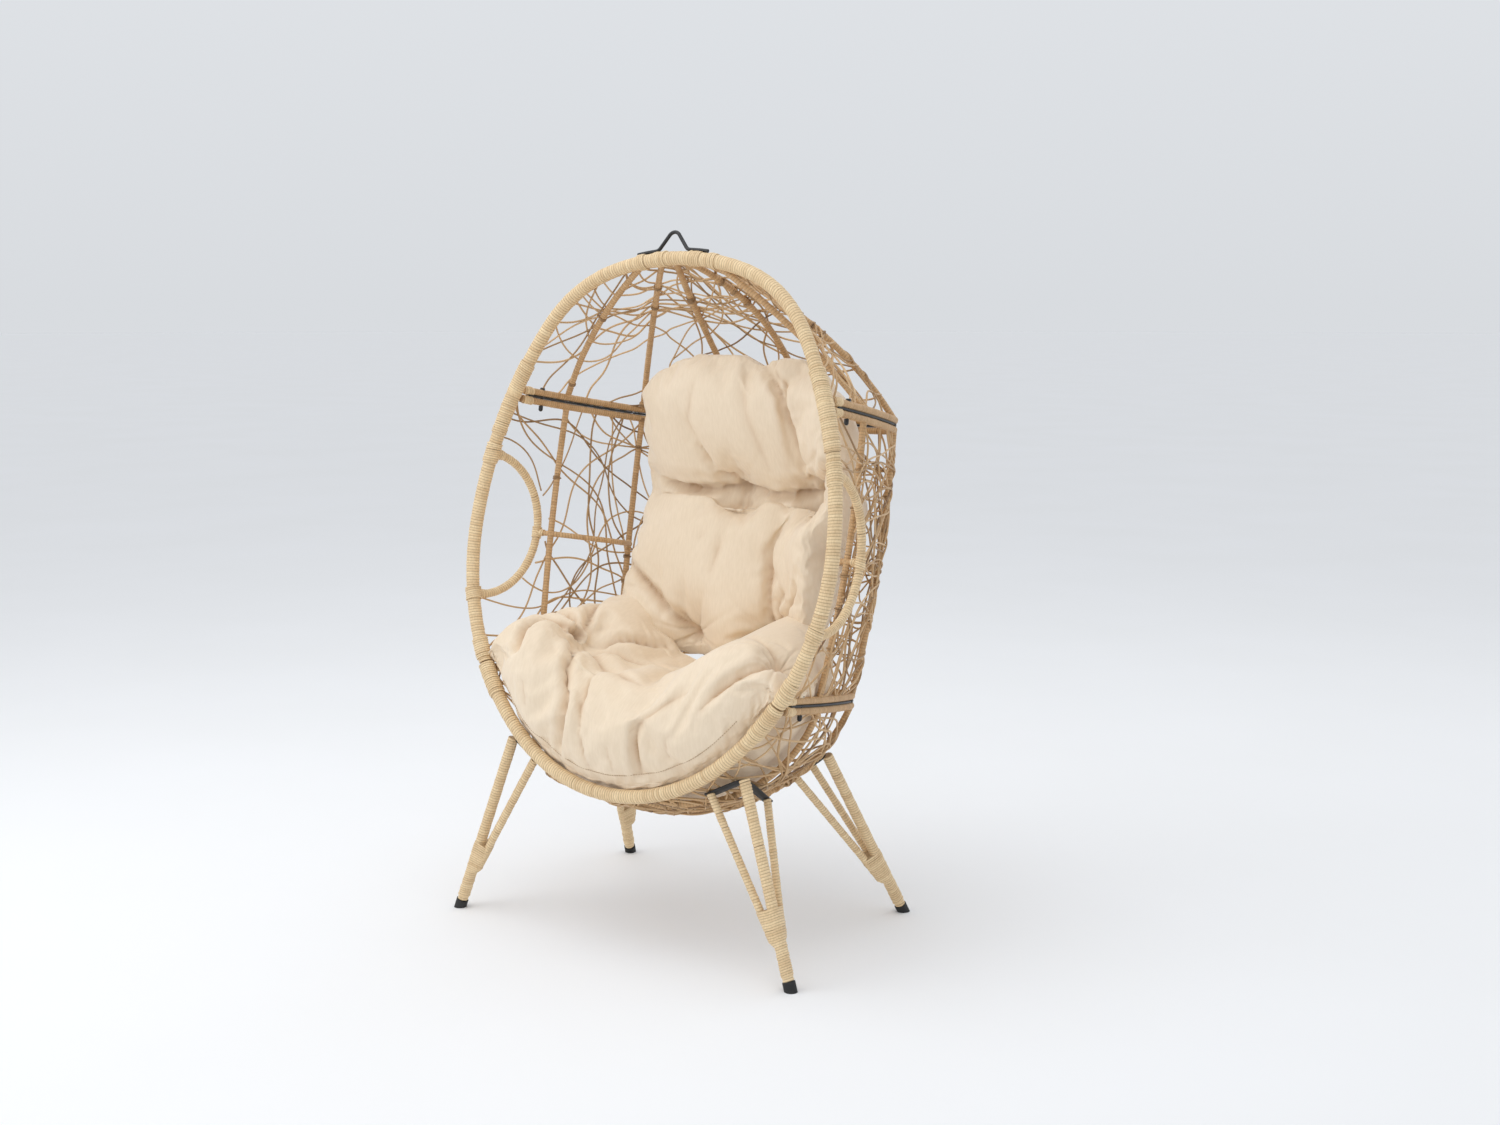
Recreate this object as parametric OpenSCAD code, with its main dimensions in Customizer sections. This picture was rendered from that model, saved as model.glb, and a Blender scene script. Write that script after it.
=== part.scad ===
// Standing egg chair: a bolted three-section basket of wrapped steel tube on four tripod legs,
// with an open random weave, a hanging hook and a tufted cushion. Millimetres, +Z up, front is -Y.
// Basket points are given as [across, back, up] in the plane of the leaning front hoop.

/* [Front hoop] */
// Height of the hoop's highest centreline point, measured along the lean
hoop_top = 1491; // [1480:1:1500]
// Backward lean of the hoop, degrees
hoop_lean = 12.8; // [11:0.1:14]
// Diameter of the wrapped hoop tube
hoop_d = 30; // [26:1:34]
// Radius of the crown arc
crown_r = 575; // [540:5:600]
// Radius of the shoulder arcs
shoulder_r = 303; // [295:1:310]
// Radius of the flank arcs
flank_r = 890; // [860:5:900]
// Radius of the hip arcs
hip_r = 560; // [545:1:570]

/* [Seams] */
// Height along the hoop of the upper seam, hood to middle
upper_seam = 1189; // [1180:1:1200]
// Height along the hoop of the lower seam, middle to bowl
lower_seam = 580; // [570:1:590]
// Depth of the basket behind the hoop
basket_depth = 445; // [430:1:455]
// Rise of each seam towards the back, degrees
seam_rise = 3.1; // [2:0.1:4]
// Radius of the rear corners
corner_r = 85; // [75:1:95]
// Diameter of each seam bar
bar_d = 16; // [14:0.5:18]
// Gap between the two bars of a seam
bar_gap = 5; // [4:0.5:8]

/* [Ribs and loops] */
// Diameter of the ribs
rib_d = 14.5; // [12:0.5:16]
// Diameter of the arm loops
loop_d = 19; // [16:0.5:20]
// Radius of the arm loops
loop_r = 160; // [150:1:165]
// Height along the hoop of the arm loops' centres
loop_up = 890; // [880:1:900]
// Diameter of the arm crossbars
crossbar_d = 13; // [11:0.5:14]

/* [Legs] */
// Half the distance between the front feet
front_foot_x = 451; // [440:1:460]
// Half the distance between the rear feet
rear_foot_x = 393; // [385:1:400]
// Distance from the front feet to the rear feet
foot_span = 548; // [540:1:560]
// Diameter of the main leg tubes
leg_d = 24; // [22:0.5:26]
// Diameter of the leg braces
brace_d = 17; // [15:0.5:18]
// Diameter of the rubber foot caps
foot_cap_d = 27; // [26:0.5:30]

/* [Cushion] */
// Width of the back cushion at its rear
back_cushion_w = 480; // [450:5:500]

/* [Hidden] */

$fn = 48;
LEFT = -1;
RIGHT = 1;

// Colours
wrap_colour = "burlywood";
rib_colour = "peru";
weave_colour = "tan";
steel_colour = "black";
cushion_colour = "wheat";

// The front feet stand this far in front of the origin, which is under the middle of the whole chair
centre_back = 297;
// The hoop's plane meets the ground this far behind the front feet
hoop_base = -90;

// ---- Arc chains: [radius, heading at which the arc ends], headings clockwise from straight across ----
crown_end = 18;
shoulder_end = 58;
flank_end = 88;
hip_end = 141;
// The keel arc closes the egg: its centre lies on the middle plane
keel_r = (crown_r * sin(crown_end) + shoulder_r * (sin(shoulder_end) - sin(crown_end))
  + flank_r * (sin(flank_end) - sin(shoulder_end)) + hip_r * (sin(hip_end) - sin(flank_end)))
  / sin(hip_end);
hoop_arcs = [[crown_r, crown_end], [shoulder_r, shoulder_end], [flank_r, flank_end],
  [hip_r, hip_end], [keel_r, 180]];
hoop_bottom = chain_point(hoop_arcs, hoop_top, 180)[1];

// A seam runs from the middle of the back, round one rear corner, to the hoop
rear_end = 7.5;
corner_end = 73;

// Solves the rear and side radii so that the seam has the given half width and depth
function seam_arcs(half_w, depth) =
  let (a = sin(rear_end), b = 1 - sin(corner_end),
       c = 1 - cos(rear_end), d = cos(corner_end),
       w = half_w - corner_r * (sin(corner_end) - sin(rear_end)),
       v = depth - corner_r * (cos(rear_end) - cos(corner_end)),
       det = a * d - b * c)
  [[(w * d - b * v) / det, rear_end], [corner_r, corner_end], [(a * v - c * w) / det, 90]];

// Centre of arc number i of a chain that starts at [0, start]
function arc_centre(arcs, start, i) = i == 0 ? [0, start - arcs[0][0]]
  : arc_centre(arcs, start, i - 1)
    + (arcs[i - 1][0] - arcs[i][0]) * [sin(arcs[i - 1][1]), cos(arcs[i - 1][1])];
function arc_index(arcs, heading, i = 0) =
  heading <= arcs[i][1] || i == len(arcs) - 1 ? i : arc_index(arcs, heading, i + 1);
// Point of the chain where it has turned to this heading
function chain_point(arcs, start, heading) =
  let (i = arc_index(arcs, heading))
  arc_centre(arcs, start, i) + arcs[i][0] * [sin(heading), cos(heading)];
// Heading at which the chain has come down to this level, by halving
function heading_at(arcs, start, level, low, high, steps = 30) =
  let (middle = (low + high) / 2)
  steps == 0 ? middle
  : chain_point(arcs, start, middle)[1] > level
    ? heading_at(arcs, start, level, middle, high, steps - 1)
    : heading_at(arcs, start, level, low, middle, steps - 1);

upper_heading = heading_at(hoop_arcs, hoop_top, upper_seam, 0, 180);
lower_heading = heading_at(hoop_arcs, hoop_top, lower_seam, 0, 180);
upper_half_w = chain_point(hoop_arcs, hoop_top, upper_heading)[0];
lower_half_w = chain_point(hoop_arcs, hoop_top, lower_heading)[0];
upper_arcs = seam_arcs(upper_half_w, basket_depth);
lower_arcs = seam_arcs(lower_half_w, basket_depth);

bar_lift = (bar_gap + bar_d) / 2;

// Point [across, back, up] on a seam at a heading from the middle of the back (0) to the hoop (90)
function seam_point(arcs, level, heading, side, lift = 0) =
  let (p = chain_point(arcs, basket_depth, heading))
  [side * p[0], p[1] * cos(seam_rise) - lift * sin(seam_rise),
   level + p[1] * sin(seam_rise) + lift * cos(seam_rise)];
function hoop_point(heading, side) =
  let (p = chain_point(hoop_arcs, hoop_top, heading)) [side * p[0], 0, p[1]];

// Headings along a seam where the ribs stand: rear, corner and side
rear_rib_heading = 2.1;
corner_rib_heading = 57;
side_rib_heading = heading_at(upper_arcs, basket_depth, 170, 0, 90);
rib_headings = [rear_rib_heading, corner_rib_heading, side_rib_heading];

// Basket frame to chair frame
function chair_point(p) =
  [p[0], hoop_base - centre_back + p[2] * sin(hoop_lean) + p[1] * cos(hoop_lean),
   p[2] * cos(hoop_lean) - p[1] * sin(hoop_lean)];

module in_basket() {
  translate([0, hoop_base - centre_back, 0]) rotate([-hoop_lean, 0, 0]) children();
}

// ---- Tubes ----
tube_fn = 48;
arc_steps = 16;
// Sweeps a cross-section along an arc, always in the same number of steps
module smooth_arc(r, sweep) {
  rotate_extrude(angle = sweep, $fn = ceil(arc_steps * 360 / sweep)) translate([r, 0]) children();
}

module rod(a, b, d) {
  v = b - a;
  translate(a) rotate([0, acos(v[2] / norm(v)), atan2(v[1], v[0])]) cylinder(h = norm(v), d = d);
}

function circumcentre(a, m, b) =
  let (u = m - a, v = b - a, w = cross(u, v))
  a + (u * u * cross(v, w) + v * v * cross(w, u)) / (2 * w * w);

// Tube on the circular arc from a through m to b
module arc_tube(a, m, b, d) {
  c = circumcentre(a, m, b);
  w = cross(m - a, b - a);
  n = w / norm(w);
  tilt = acos(n[2]);
  turn = atan2(n[1], n[0]);
  x_axis = [cos(turn) * cos(tilt), sin(turn) * cos(tilt), -sin(tilt)];
  y_axis = [-sin(turn), cos(turn), 0];
  start = atan2((a - c) * y_axis, (a - c) * x_axis);
  finish = atan2((b - c) * y_axis, (b - c) * x_axis);
  sweep = finish > start ? finish - start : finish - start + 360;
  translate(c) rotate([0, tilt, turn]) rotate([0, 0, start])
    smooth_arc(norm(a - c), sweep) circle(d = d, $fn = tube_fn);
}

// One arc of a chain, between two headings
module chain_arc(arcs, start, i, from, to) {
  translate(arc_centre(arcs, start, i)) rotate([0, 0, 90 - to]) smooth_arc(arcs[i][0], to - from)
    children();
}
// Weld collar that joins two arcs of a tube; it stands a little proud of them
collar_l = 4;
collar_proud = 0.4;
joint_gap = 0.2;
module chain_collar(arcs, start, heading, d) {
  translate(chain_point(arcs, start, heading)) rotate([0, 0, -heading]) rotate([0, 90, 0])
    cylinder(h = collar_l, d = d + collar_proud, center = true);
}
// Half the joint gap as an angle
function trim(arcs, i) = joint_gap / 2 / arcs[i][0] * 180 / PI;

// Tube along one side of an arc chain in the XY plane, from the end of arc number first to a heading
module chain_tube(arcs, start, d, first, from, to) {
  for (i = [first : len(arcs) - 1]) {
    arc_from = max(from, i == 0 ? 0 : arcs[i - 1][1] + trim(arcs, i));
    arc_to = min(to, arcs[i][1] - trim(arcs, i));
    if (arc_to > arc_from) {
      chain_arc(arcs, start, i, arc_from, arc_to) circle(d = d, $fn = tube_fn);
      if (i > 0 && arcs[i - 1][1] > from) chain_collar(arcs, start, arcs[i - 1][1], d);
    }
  }
}

module both_sides() {
  children();
  mirror([1, 0, 0]) children();
}

// The sections of the front hoop end this many degrees short of a seam
section_cut = 0.15;
module upright() {
  rotate([90, 0, 0]) children();
}

// One U-shaped seam bar, lifted above or below its seam and bored for the seam bolts
bar_end_heading = 89;
module seam_bar(arcs, level, lift) {
  difference() {
    translate([0, 0, level]) rotate([seam_rise, 0, 0]) translate([0, 0, lift]) {
      chain_arc(arcs, basket_depth, 0, trim(arcs, 0) - rear_end, rear_end - trim(arcs, 0))
        circle(d = bar_d, $fn = tube_fn);
      both_sides() chain_tube(arcs, basket_depth, bar_d, 1, 0, bar_end_heading);
    }
    bolt_bores();
  }
}

// ---- Hood ----
// Ribs spread along the top of the hoop: across and back, for rear, corner and side ribs
hood_rib_tops = [[16, 12], [52, 12], [94, 2]];
hood_rib_bulge = [[41, 17, 34], [17, 16, 41], [18, -8, 9]];
rib_sink = 4;
function hood_rib_top(i, side) = [side * hood_rib_tops[i][0], hood_rib_tops[i][1],
  chain_point(hoop_arcs, hoop_top, heading_at_across(hood_rib_tops[i][0]))[1] - rib_sink];
// Heading of the crown where it is this far across
function heading_at_across(x) = x < crown_r * sin(crown_end) ? asin(x / crown_r) : crown_end;
function hood_rib_foot(i, side) =
  seam_point(upper_arcs, upper_seam, rib_headings[i], side, bar_lift);
function hood_rib_middle(i, side) = (hood_rib_top(i, side) + hood_rib_foot(i, side)) / 2
  + [side * hood_rib_bulge[i][0], hood_rib_bulge[i][1], hood_rib_bulge[i][2]];

module hood_rib(i, side) {
  color(rib_colour) in_basket()
    arc_tube(hood_rib_top(i, side), hood_rib_middle(i, side), hood_rib_foot(i, side), rib_d);
}
module hood_hoop() {
  crown_to = crown_end - trim(hoop_arcs, 0);
  color(wrap_colour) in_basket() upright() {
    chain_arc(hoop_arcs, hoop_top, 0, -crown_to, crown_to) circle(d = hoop_d, $fn = tube_fn);
    both_sides() chain_tube(hoop_arcs, hoop_top, hoop_d, 1, 0, upper_heading - section_cut);
  }
}
module hood_seam_bar() {
  color(rib_colour) in_basket() seam_bar(upper_arcs, upper_seam, bar_lift);
}

// ---- Middle ----
middle_rib_bulge = [[4, 6, 0], [10, 8, 0], [12, 4, 0]];
function middle_rib_top(i, side) =
  seam_point(upper_arcs, upper_seam, rib_headings[i], side, -bar_lift);
function middle_rib_foot(i, side) =
  seam_point(lower_arcs, lower_seam, rib_headings[i], side, bar_lift);
function middle_rib_middle(i, side) = (middle_rib_top(i, side) + middle_rib_foot(i, side)) / 2
  + [side * middle_rib_bulge[i][0], middle_rib_bulge[i][1], middle_rib_bulge[i][2]];

module middle_rib(i, side) {
  color(rib_colour) in_basket()
    arc_tube(middle_rib_top(i, side), middle_rib_middle(i, side), middle_rib_foot(i, side), rib_d);
}
module side_hoop(side) {
  color(wrap_colour) in_basket() mirror([side == LEFT ? 1 : 0, 0, 0]) upright()
    chain_tube(hoop_arcs, hoop_top, hoop_d, 1, upper_heading + section_cut, lower_heading - section_cut);
}
module middle_top_bar() {
  color(rib_colour) in_basket() seam_bar(upper_arcs, upper_seam, -bar_lift);
}
module middle_bottom_bar() {
  color(rib_colour) in_basket() seam_bar(lower_arcs, lower_seam, bar_lift);
}

// Arm loop: half a circle behind the hoop, its apex this much further in and this far back
loop_x = 457;
loop_lean_in = 17;
loop_depth = 167;
loop_apex = [loop_x - loop_lean_in, loop_depth, loop_up];
module arm_loop(side) {
  color(wrap_colour) in_basket() arc_tube([side * loop_x, 0, loop_up - loop_r],
    [side * loop_apex[0], loop_apex[1], loop_up], [side * loop_x, 0, loop_up + loop_r], loop_d);
}
// Crossbar from the arm loop past the side rib to the corner rib, where it has risen a little
crossbar_rise = 6;
module arm_crossbar(side) {
  a = [side * loop_apex[0], loop_apex[1], loop_up];
  m = middle_rib_middle(2, side);
  b = middle_rib_middle(1, side);
  color(rib_colour) in_basket() {
    arc_tube(a, [m[0], m[1], loop_up], [b[0], b[1], loop_up + crossbar_rise], crossbar_d);
  }
}

// ---- Bowl ----
bowl_rib_ends = [[14, 6], [46, 6], [84, 6]];
bowl_rib_bulge = [[10, 44, -116], [42, 38, -92], [70, 14, -56]];
bowl_rib_rise = 4;
function bowl_rib_top(i, side) =
  seam_point(lower_arcs, lower_seam, rib_headings[i], side, -bar_lift);
function bowl_rib_foot(i, side) = [side * bowl_rib_ends[i][0], bowl_rib_ends[i][1],
  hoop_bottom + keel_r - sqrt(keel_r * keel_r - bowl_rib_ends[i][0] * bowl_rib_ends[i][0])
  + bowl_rib_rise];
function bowl_rib_middle(i, side) = (bowl_rib_top(i, side) + bowl_rib_foot(i, side)) / 2
  + [side * bowl_rib_bulge[i][0], bowl_rib_bulge[i][1], bowl_rib_bulge[i][2]];
module bowl_rib(i, side) {
  color(rib_colour) in_basket()
    arc_tube(bowl_rib_top(i, side), bowl_rib_middle(i, side), bowl_rib_foot(i, side), rib_d);
}
module bowl_hoop() {
  keel_from = hip_end + trim(hoop_arcs, 4);
  color(wrap_colour) in_basket() upright() {
    chain_arc(hoop_arcs, hoop_top, 4, keel_from, 360 - keel_from) circle(d = hoop_d, $fn = tube_fn);
    both_sides() {
      chain_tube(hoop_arcs, hoop_top, hoop_d, 3, lower_heading + section_cut, hip_end);
      chain_collar(hoop_arcs, hoop_top, hip_end, hoop_d);
    }
  }
}
module bowl_seam_bar() {
  color(rib_colour) in_basket() seam_bar(lower_arcs, lower_seam, -bar_lift);
}

// ---- Weave: thin open-work skins over the ribs, one closed piece for each bay between two ribs ----
skin_offset = bar_d / 2 + 0.6;
skin_t = 3.5;
skin_across = 3;
skin_along = 8;
bay_gap = 0.05;
rear_gap = 0.004;
bar_clear = 0.03;

// Position along the ribs: 0 rear, 1 corner, 2 side, 3 hoop; in-between values blend
function blend(list, s) =
  let (i = min(floor(s), len(list) - 2)) list[i] + (s - i) * (list[i + 1] - list[i]);
skin_headings = concat(rib_headings, [90]);

// Fraction of the hood's stretch of hoop at which its bow is taken
hood_bow_at = 0.55;
function hood_hoop_heading(f) = let (first = asin(hood_rib_tops[2][0] / crown_r))
  first + f * (upper_heading - first);
hood_front = let (a = hoop_point(hood_hoop_heading(0), RIGHT),
  m = hoop_point(hood_hoop_heading(hood_bow_at), RIGHT), b = hoop_point(upper_heading, RIGHT))
  [a, m - (a + b) / 2];
hood_tops = [for (i = [0 : 2]) hood_rib_top(i, RIGHT), hood_front[0]];
hood_bulges = concat(hood_rib_bulge, [hood_front[1]]);

middle_front = let (a = hoop_point(upper_heading, RIGHT), b = hoop_point(lower_heading, RIGHT),
  m = hoop_point((upper_heading + lower_heading) / 2, RIGHT)) m - (a + b) / 2;
middle_bulges = concat(middle_rib_bulge, [middle_front]);

bowl_front_heading = 180 - asin(bowl_rib_ends[2][0] / keel_r);
bowl_front = let (a = hoop_point(bowl_front_heading, RIGHT), b = hoop_point(lower_heading, RIGHT),
  m = hoop_point((bowl_front_heading + lower_heading) / 2, RIGHT)) [a, m - (a + b) / 2];
bowl_feet = [for (i = [0 : 2]) bowl_rib_foot(i, RIGHT), bowl_front[0]];
bowl_bulges = concat(bowl_rib_bulge, [bowl_front[1]]);

// Point at fraction t of the circular arc from a through m to b
function arc_point(a, m, b, t) =
  let (c = circumcentre(a, m, b), w = cross(m - a, b - a), n = w / norm(w),
       r = a - c, q = cross(n, r),
       raw = atan2((b - c) * q, (b - c) * r), sweep = raw < 0 ? raw + 360 : raw)
  c + r * cos(sweep * t) + q * sin(sweep * t);

HOOD = 0;
MIDDLE = 1;
BOWL = 2;
// Centre surface of a section at rib position s, from its upper end (t = 0) to its lower end (t = 1)
function skin_ends(section, s) =
  section == HOOD ? [blend(hood_tops, s),
    seam_point(upper_arcs, upper_seam, blend(skin_headings, s), RIGHT, bar_lift),
    blend(hood_bulges, s)]
  : section == MIDDLE ? [seam_point(upper_arcs, upper_seam, blend(skin_headings, s), RIGHT, -bar_lift),
    seam_point(lower_arcs, lower_seam, blend(skin_headings, s), RIGHT, bar_lift),
    blend(middle_bulges, s)]
  : [seam_point(lower_arcs, lower_seam, blend(skin_headings, s), RIGHT, -bar_lift),
    blend(bowl_feet, s), blend(bowl_bulges, s)];
function skin_base(section, s, t) = let (e = skin_ends(section, s))
  arc_point(e[0], (e[0] + e[1]) / 2 + e[2], e[1], t);
skin_step = 0.01;
function skin_normal(section, s, t) =
  let (ds = skin_base(section, s + skin_step, t) - skin_base(section, max(s - skin_step, 0), t),
       dt = skin_base(section, s, t + skin_step) - skin_base(section, s, t - skin_step),
       n = cross(ds, dt)) n / norm(n);
function skin_point(section, s, t, depth) =
  skin_base(section, s, t) + depth * skin_normal(section, s, t);

// A bay that starts below zero is the middle one, between the two rear ribs
CENTRE = -1;
function bay_point(section, s0, s1, u, t, depth) =
  s0 == CENTRE
    ? let (p = skin_point(section, rear_gap, t, depth)) [p[0] * (2 * u - 1) * (1 - bay_gap), p[1], p[2]]
    : skin_point(section, s0 + (s1 - s0) * u, t, depth);

// One closed bay from rib position s0 to s1 and from t0 to t1
module skin_bay(section, s0, s1, t0, t1) {
  cols = skin_across + 1;
  layer = (skin_along + 1) * cols;
  points = [for (depth = [skin_offset + skin_t, skin_offset], i = [0 : skin_along], j = [0 : skin_across])
    bay_point(section, s0, s1, j / skin_across, t0 + (t1 - t0) * i / skin_along, depth)];
  function at(k, i, j) = k * layer + i * cols + j;
  faces = concat(
    [for (i = [0 : skin_along - 1], j = [0 : skin_across - 1], f = [
      [at(0, i, j), at(0, i + 1, j + 1), at(0, i, j + 1)],
      [at(0, i, j), at(0, i + 1, j), at(0, i + 1, j + 1)],
      [at(1, i, j), at(1, i, j + 1), at(1, i + 1, j + 1)],
      [at(1, i, j), at(1, i + 1, j + 1), at(1, i + 1, j)]]) f],
    [for (i = [0 : skin_along - 1], f = [
      [at(0, i, 0), at(1, i + 1, 0), at(0, i + 1, 0)],
      [at(0, i, 0), at(1, i, 0), at(1, i + 1, 0)],
      [at(0, i, skin_across), at(0, i + 1, skin_across), at(1, i + 1, skin_across)],
      [at(0, i, skin_across), at(1, i + 1, skin_across), at(1, i, skin_across)]]) f],
    [for (j = [0 : skin_across - 1], f = [
      [at(0, 0, j), at(0, 0, j + 1), at(1, 0, j + 1)],
      [at(0, 0, j), at(1, 0, j + 1), at(1, 0, j)],
      [at(0, skin_along, j), at(1, skin_along, j + 1), at(0, skin_along, j + 1)],
      [at(0, skin_along, j), at(1, skin_along, j), at(1, skin_along, j + 1)]]) f]);
  polyhedron(points, faces, convexity = 4);
}

module rear_bays(section, t0, t1) {
  skin_bay(section, CENTRE, 0, t0, t1);
  both_sides() {
    skin_bay(section, rear_gap, 1 - bay_gap, t0, t1);
    skin_bay(section, 1 + bay_gap, 2 - bay_gap, t0, t1);
  }
}
// Rib position at which the front bays stop, short of the thick hoop
front_bay_end = 2.86;
module front_bays(section, t0, t1) {
  both_sides() skin_bay(section, 2 + bay_gap, front_bay_end, t0, t1);
}
// Fractions at which the weave starts below the crown, and ends above the keel: rear bays, front bays
hood_from = [0.12, 0.16];
bowl_to = [0.9, 0.86];
module hood_weave() {
  color(weave_colour) in_basket() {
    rear_bays(HOOD, hood_from[0], 1 - bar_clear);
    front_bays(HOOD, hood_from[1], 1 - bar_clear);
  }
}
// The arm loops leave the front bays of the middle open between these two fractions
arm_gap = [0.19, 0.80];
module middle_weave() {
  color(weave_colour) in_basket() {
    rear_bays(MIDDLE, bar_clear, 1 - bar_clear);
    front_bays(MIDDLE, bar_clear, arm_gap[0]);
    front_bays(MIDDLE, arm_gap[1], 1 - bar_clear);
  }
}
module bowl_weave() {
  color(weave_colour) in_basket() {
    rear_bays(BOWL, bar_clear, bowl_to[0]);
    front_bays(BOWL, bar_clear, bowl_to[1]);
  }
}

// ---- Seam hardware ----
bolt_d = 6;
bolt_clearance = 0.6;
bolt_head_d = 13;
bolt_head_h = 4;
bolt_back = 90;
// Gap under each bolt head and over each nut
head_gap = 0.2;
head_taper = 0.7;
nut_d = 10;
nut_h = 8;
// Closed end of a cap nut, the gap between it and the bolt's end, and the play round the shank
nut_floor = 1.9;
shank_gap = 0.1;
shank_play = 0.02;
strip_w = 10;
strip_t = bar_gap - 0.8;

// Frame of a bolt: its axis is +Z, square to the seam, through both bars
module at_bolt(arcs, level, side) {
  p = chain_point(arcs, basket_depth, heading_at(arcs, basket_depth, bolt_back, 0, 90));
  translate([0, 0, level]) rotate([seam_rise, 0, 0]) translate([side * p[0], p[1], 0]) children();
}
module at_every_bolt() {
  for (side = [LEFT, RIGHT]) {
    at_bolt(upper_arcs, upper_seam, side) children();
    at_bolt(lower_arcs, lower_seam, side) children();
  }
}
bolt_half = bar_lift + bar_d / 2;
module bolt_bores() {
  at_every_bolt() cylinder(h = 4 * bolt_half, d = bolt_d + bolt_clearance, center = true);
}
// Dark strip between the two bars of a seam, in five lengths
strip_end_heading = 88;
strip_joint = 0.3;
module strip_length(arcs, i, from, to) {
  chain_arc(arcs, basket_depth, i, from, to) square([strip_w, strip_t], center = true);
}
module seam_strip(arcs, level) {
  color(steel_colour) in_basket() difference() {
    translate([0, 0, level]) rotate([seam_rise, 0, 0]) {
      strip_length(arcs, 0, strip_joint - rear_end, rear_end - strip_joint);
      both_sides() {
        strip_length(arcs, 1, rear_end + strip_joint, corner_end - strip_joint);
        strip_length(arcs, 2, corner_end + strip_joint, strip_end_heading);
      }
    }
    bolt_bores();
  }
}
module upper_seam_strip() {
  seam_strip(upper_arcs, upper_seam);
}
module lower_seam_strip() {
  seam_strip(lower_arcs, lower_seam);
}
// Domed head above the upper bar, shank down through both bars
module seam_bolts() {
  color(steel_colour) in_basket() at_every_bolt() {
    translate([0, 0, bolt_half + head_gap])
      cylinder(h = bolt_head_h, d1 = bolt_head_d, d2 = bolt_head_d * head_taper);
    translate([0, 0, -bolt_half - nut_h + nut_floor + shank_gap])
      cylinder(h = 2 * bolt_half + nut_h, d = bolt_d);
  }
}
// Cap nuts below the lower bar
module seam_nuts() {
  color(steel_colour) in_basket() at_every_bolt() translate([0, 0, -bolt_half - head_gap])
    difference() {
      union() {
        translate([0, 0, -nut_h]) cylinder(h = nut_h, d = nut_d);
        translate([0, 0, -nut_h]) sphere(d = nut_d);
      }
      translate([0, 0, -nut_h + nut_floor]) cylinder(h = nut_h, d = bolt_d + shank_play);
    }
}

// ---- Hanging hook: a bent rod lying on the crown, its feet bound to the hoop ----
hook_d = 8;
hook_across = -18;
hook_crown_r = 16;
hook_heel_r = 16;
hook_slope = 52;
hook_heel_heading = 4.4;
hook_foot_heading = 9;
// How far the hook is pressed into the hoop's strand
hook_sink = 0.1;
hook_seat_r = crown_r + (hoop_d + hook_d) / 2 - hook_sink;
// Gaps between the lengths of the rod, inside their collars: degrees of bend, share of a slope, heading
hook_joint = 1;
slope_joint = 0.01;
foot_joint = 0.02;
hook_collar_l = 2;
function turned(heading) = [sin(heading), 0, cos(heading)];
module hook_collar(p, heading) {
  translate(p) rotate([0, 90 + heading, 0])
    cylinder(h = hook_collar_l, d = hook_d + collar_proud / 2, center = true);
}
module hanging_hook() {
  crown = [0, 0, hoop_top - crown_r];
  heel = crown + hook_seat_r * turned(hook_heel_heading);
  heel_centre = heel + hook_heel_r * turned(hook_heel_heading);
  slope_foot = heel_centre - hook_heel_r * turned(hook_slope);
  slope_length = (slope_foot[0] - hook_crown_r * sin(hook_slope)) / cos(hook_slope);
  slope_top = slope_foot + slope_length * [-cos(hook_slope), 0, sin(hook_slope)];
  top_centre = slope_top - hook_crown_r * turned(hook_slope);
  color(steel_colour) in_basket() translate([0, 0, hoop_top - crown_r])
    rotate([0, asin(hook_across / hook_seat_r), 0]) translate([0, 0, crown_r - hoop_top]) {
    arc_tube(top_centre + hook_crown_r * turned(hook_joint - hook_slope),
      top_centre + hook_crown_r * turned(0),
      top_centre + hook_crown_r * turned(hook_slope - hook_joint), hook_d);
    both_sides() {
      hook_collar(slope_top, hook_slope);
      rod(along(slope_top, slope_foot, slope_joint), along(slope_top, slope_foot, 1 - slope_joint),
        hook_d);
      hook_collar(slope_foot, hook_slope);
      arc_tube(heel_centre - hook_heel_r * turned(hook_slope - hook_joint),
        heel_centre - hook_heel_r * turned((hook_slope + hook_heel_heading) / 2),
        heel_centre - hook_heel_r * turned(hook_heel_heading + hook_joint), hook_d);
      hook_collar(heel, hook_heel_heading);
      arc_tube(crown + hook_seat_r * turned(hook_heel_heading + foot_joint),
        crown + hook_seat_r * turned((hook_heel_heading + hook_foot_heading) / 2),
        crown + hook_seat_r * turned(hook_foot_heading), hook_d);
    }
  }
}

// ---- Legs: a main tube and two braces from a bracket, bound together low down, on a rubber cap ----
FRONT = 0;
REAR = 1;
// Tops of the main tube, the inner brace and the rear brace, in the basket frame, for a right leg
leg_tops = [
  [[312, 34, 424], [238, 28, 384], [316, 122, 384]],
  [[306, 352, 478], [266, 300, 424], [232, 392, 462]]
];
feet = [[front_foot_x, -centre_back, 0], [rear_foot_x, foot_span - centre_back, 0]];
cap_h = 20;
// Length of a cap before it is cut, as a share of its height, and the block that cuts it
cap_blank = 1.6;
cutter = 100;
bracket_t = 4;
bracket_edge = 15;
// Fractions of the leg, from its top, where the binding starts, narrows and ends
binding_stations = [0.61, 0.83, 0.93];
binding_d = [52, 36, 28];
brace_end = 0.74;
brace_spread = 17;

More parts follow.
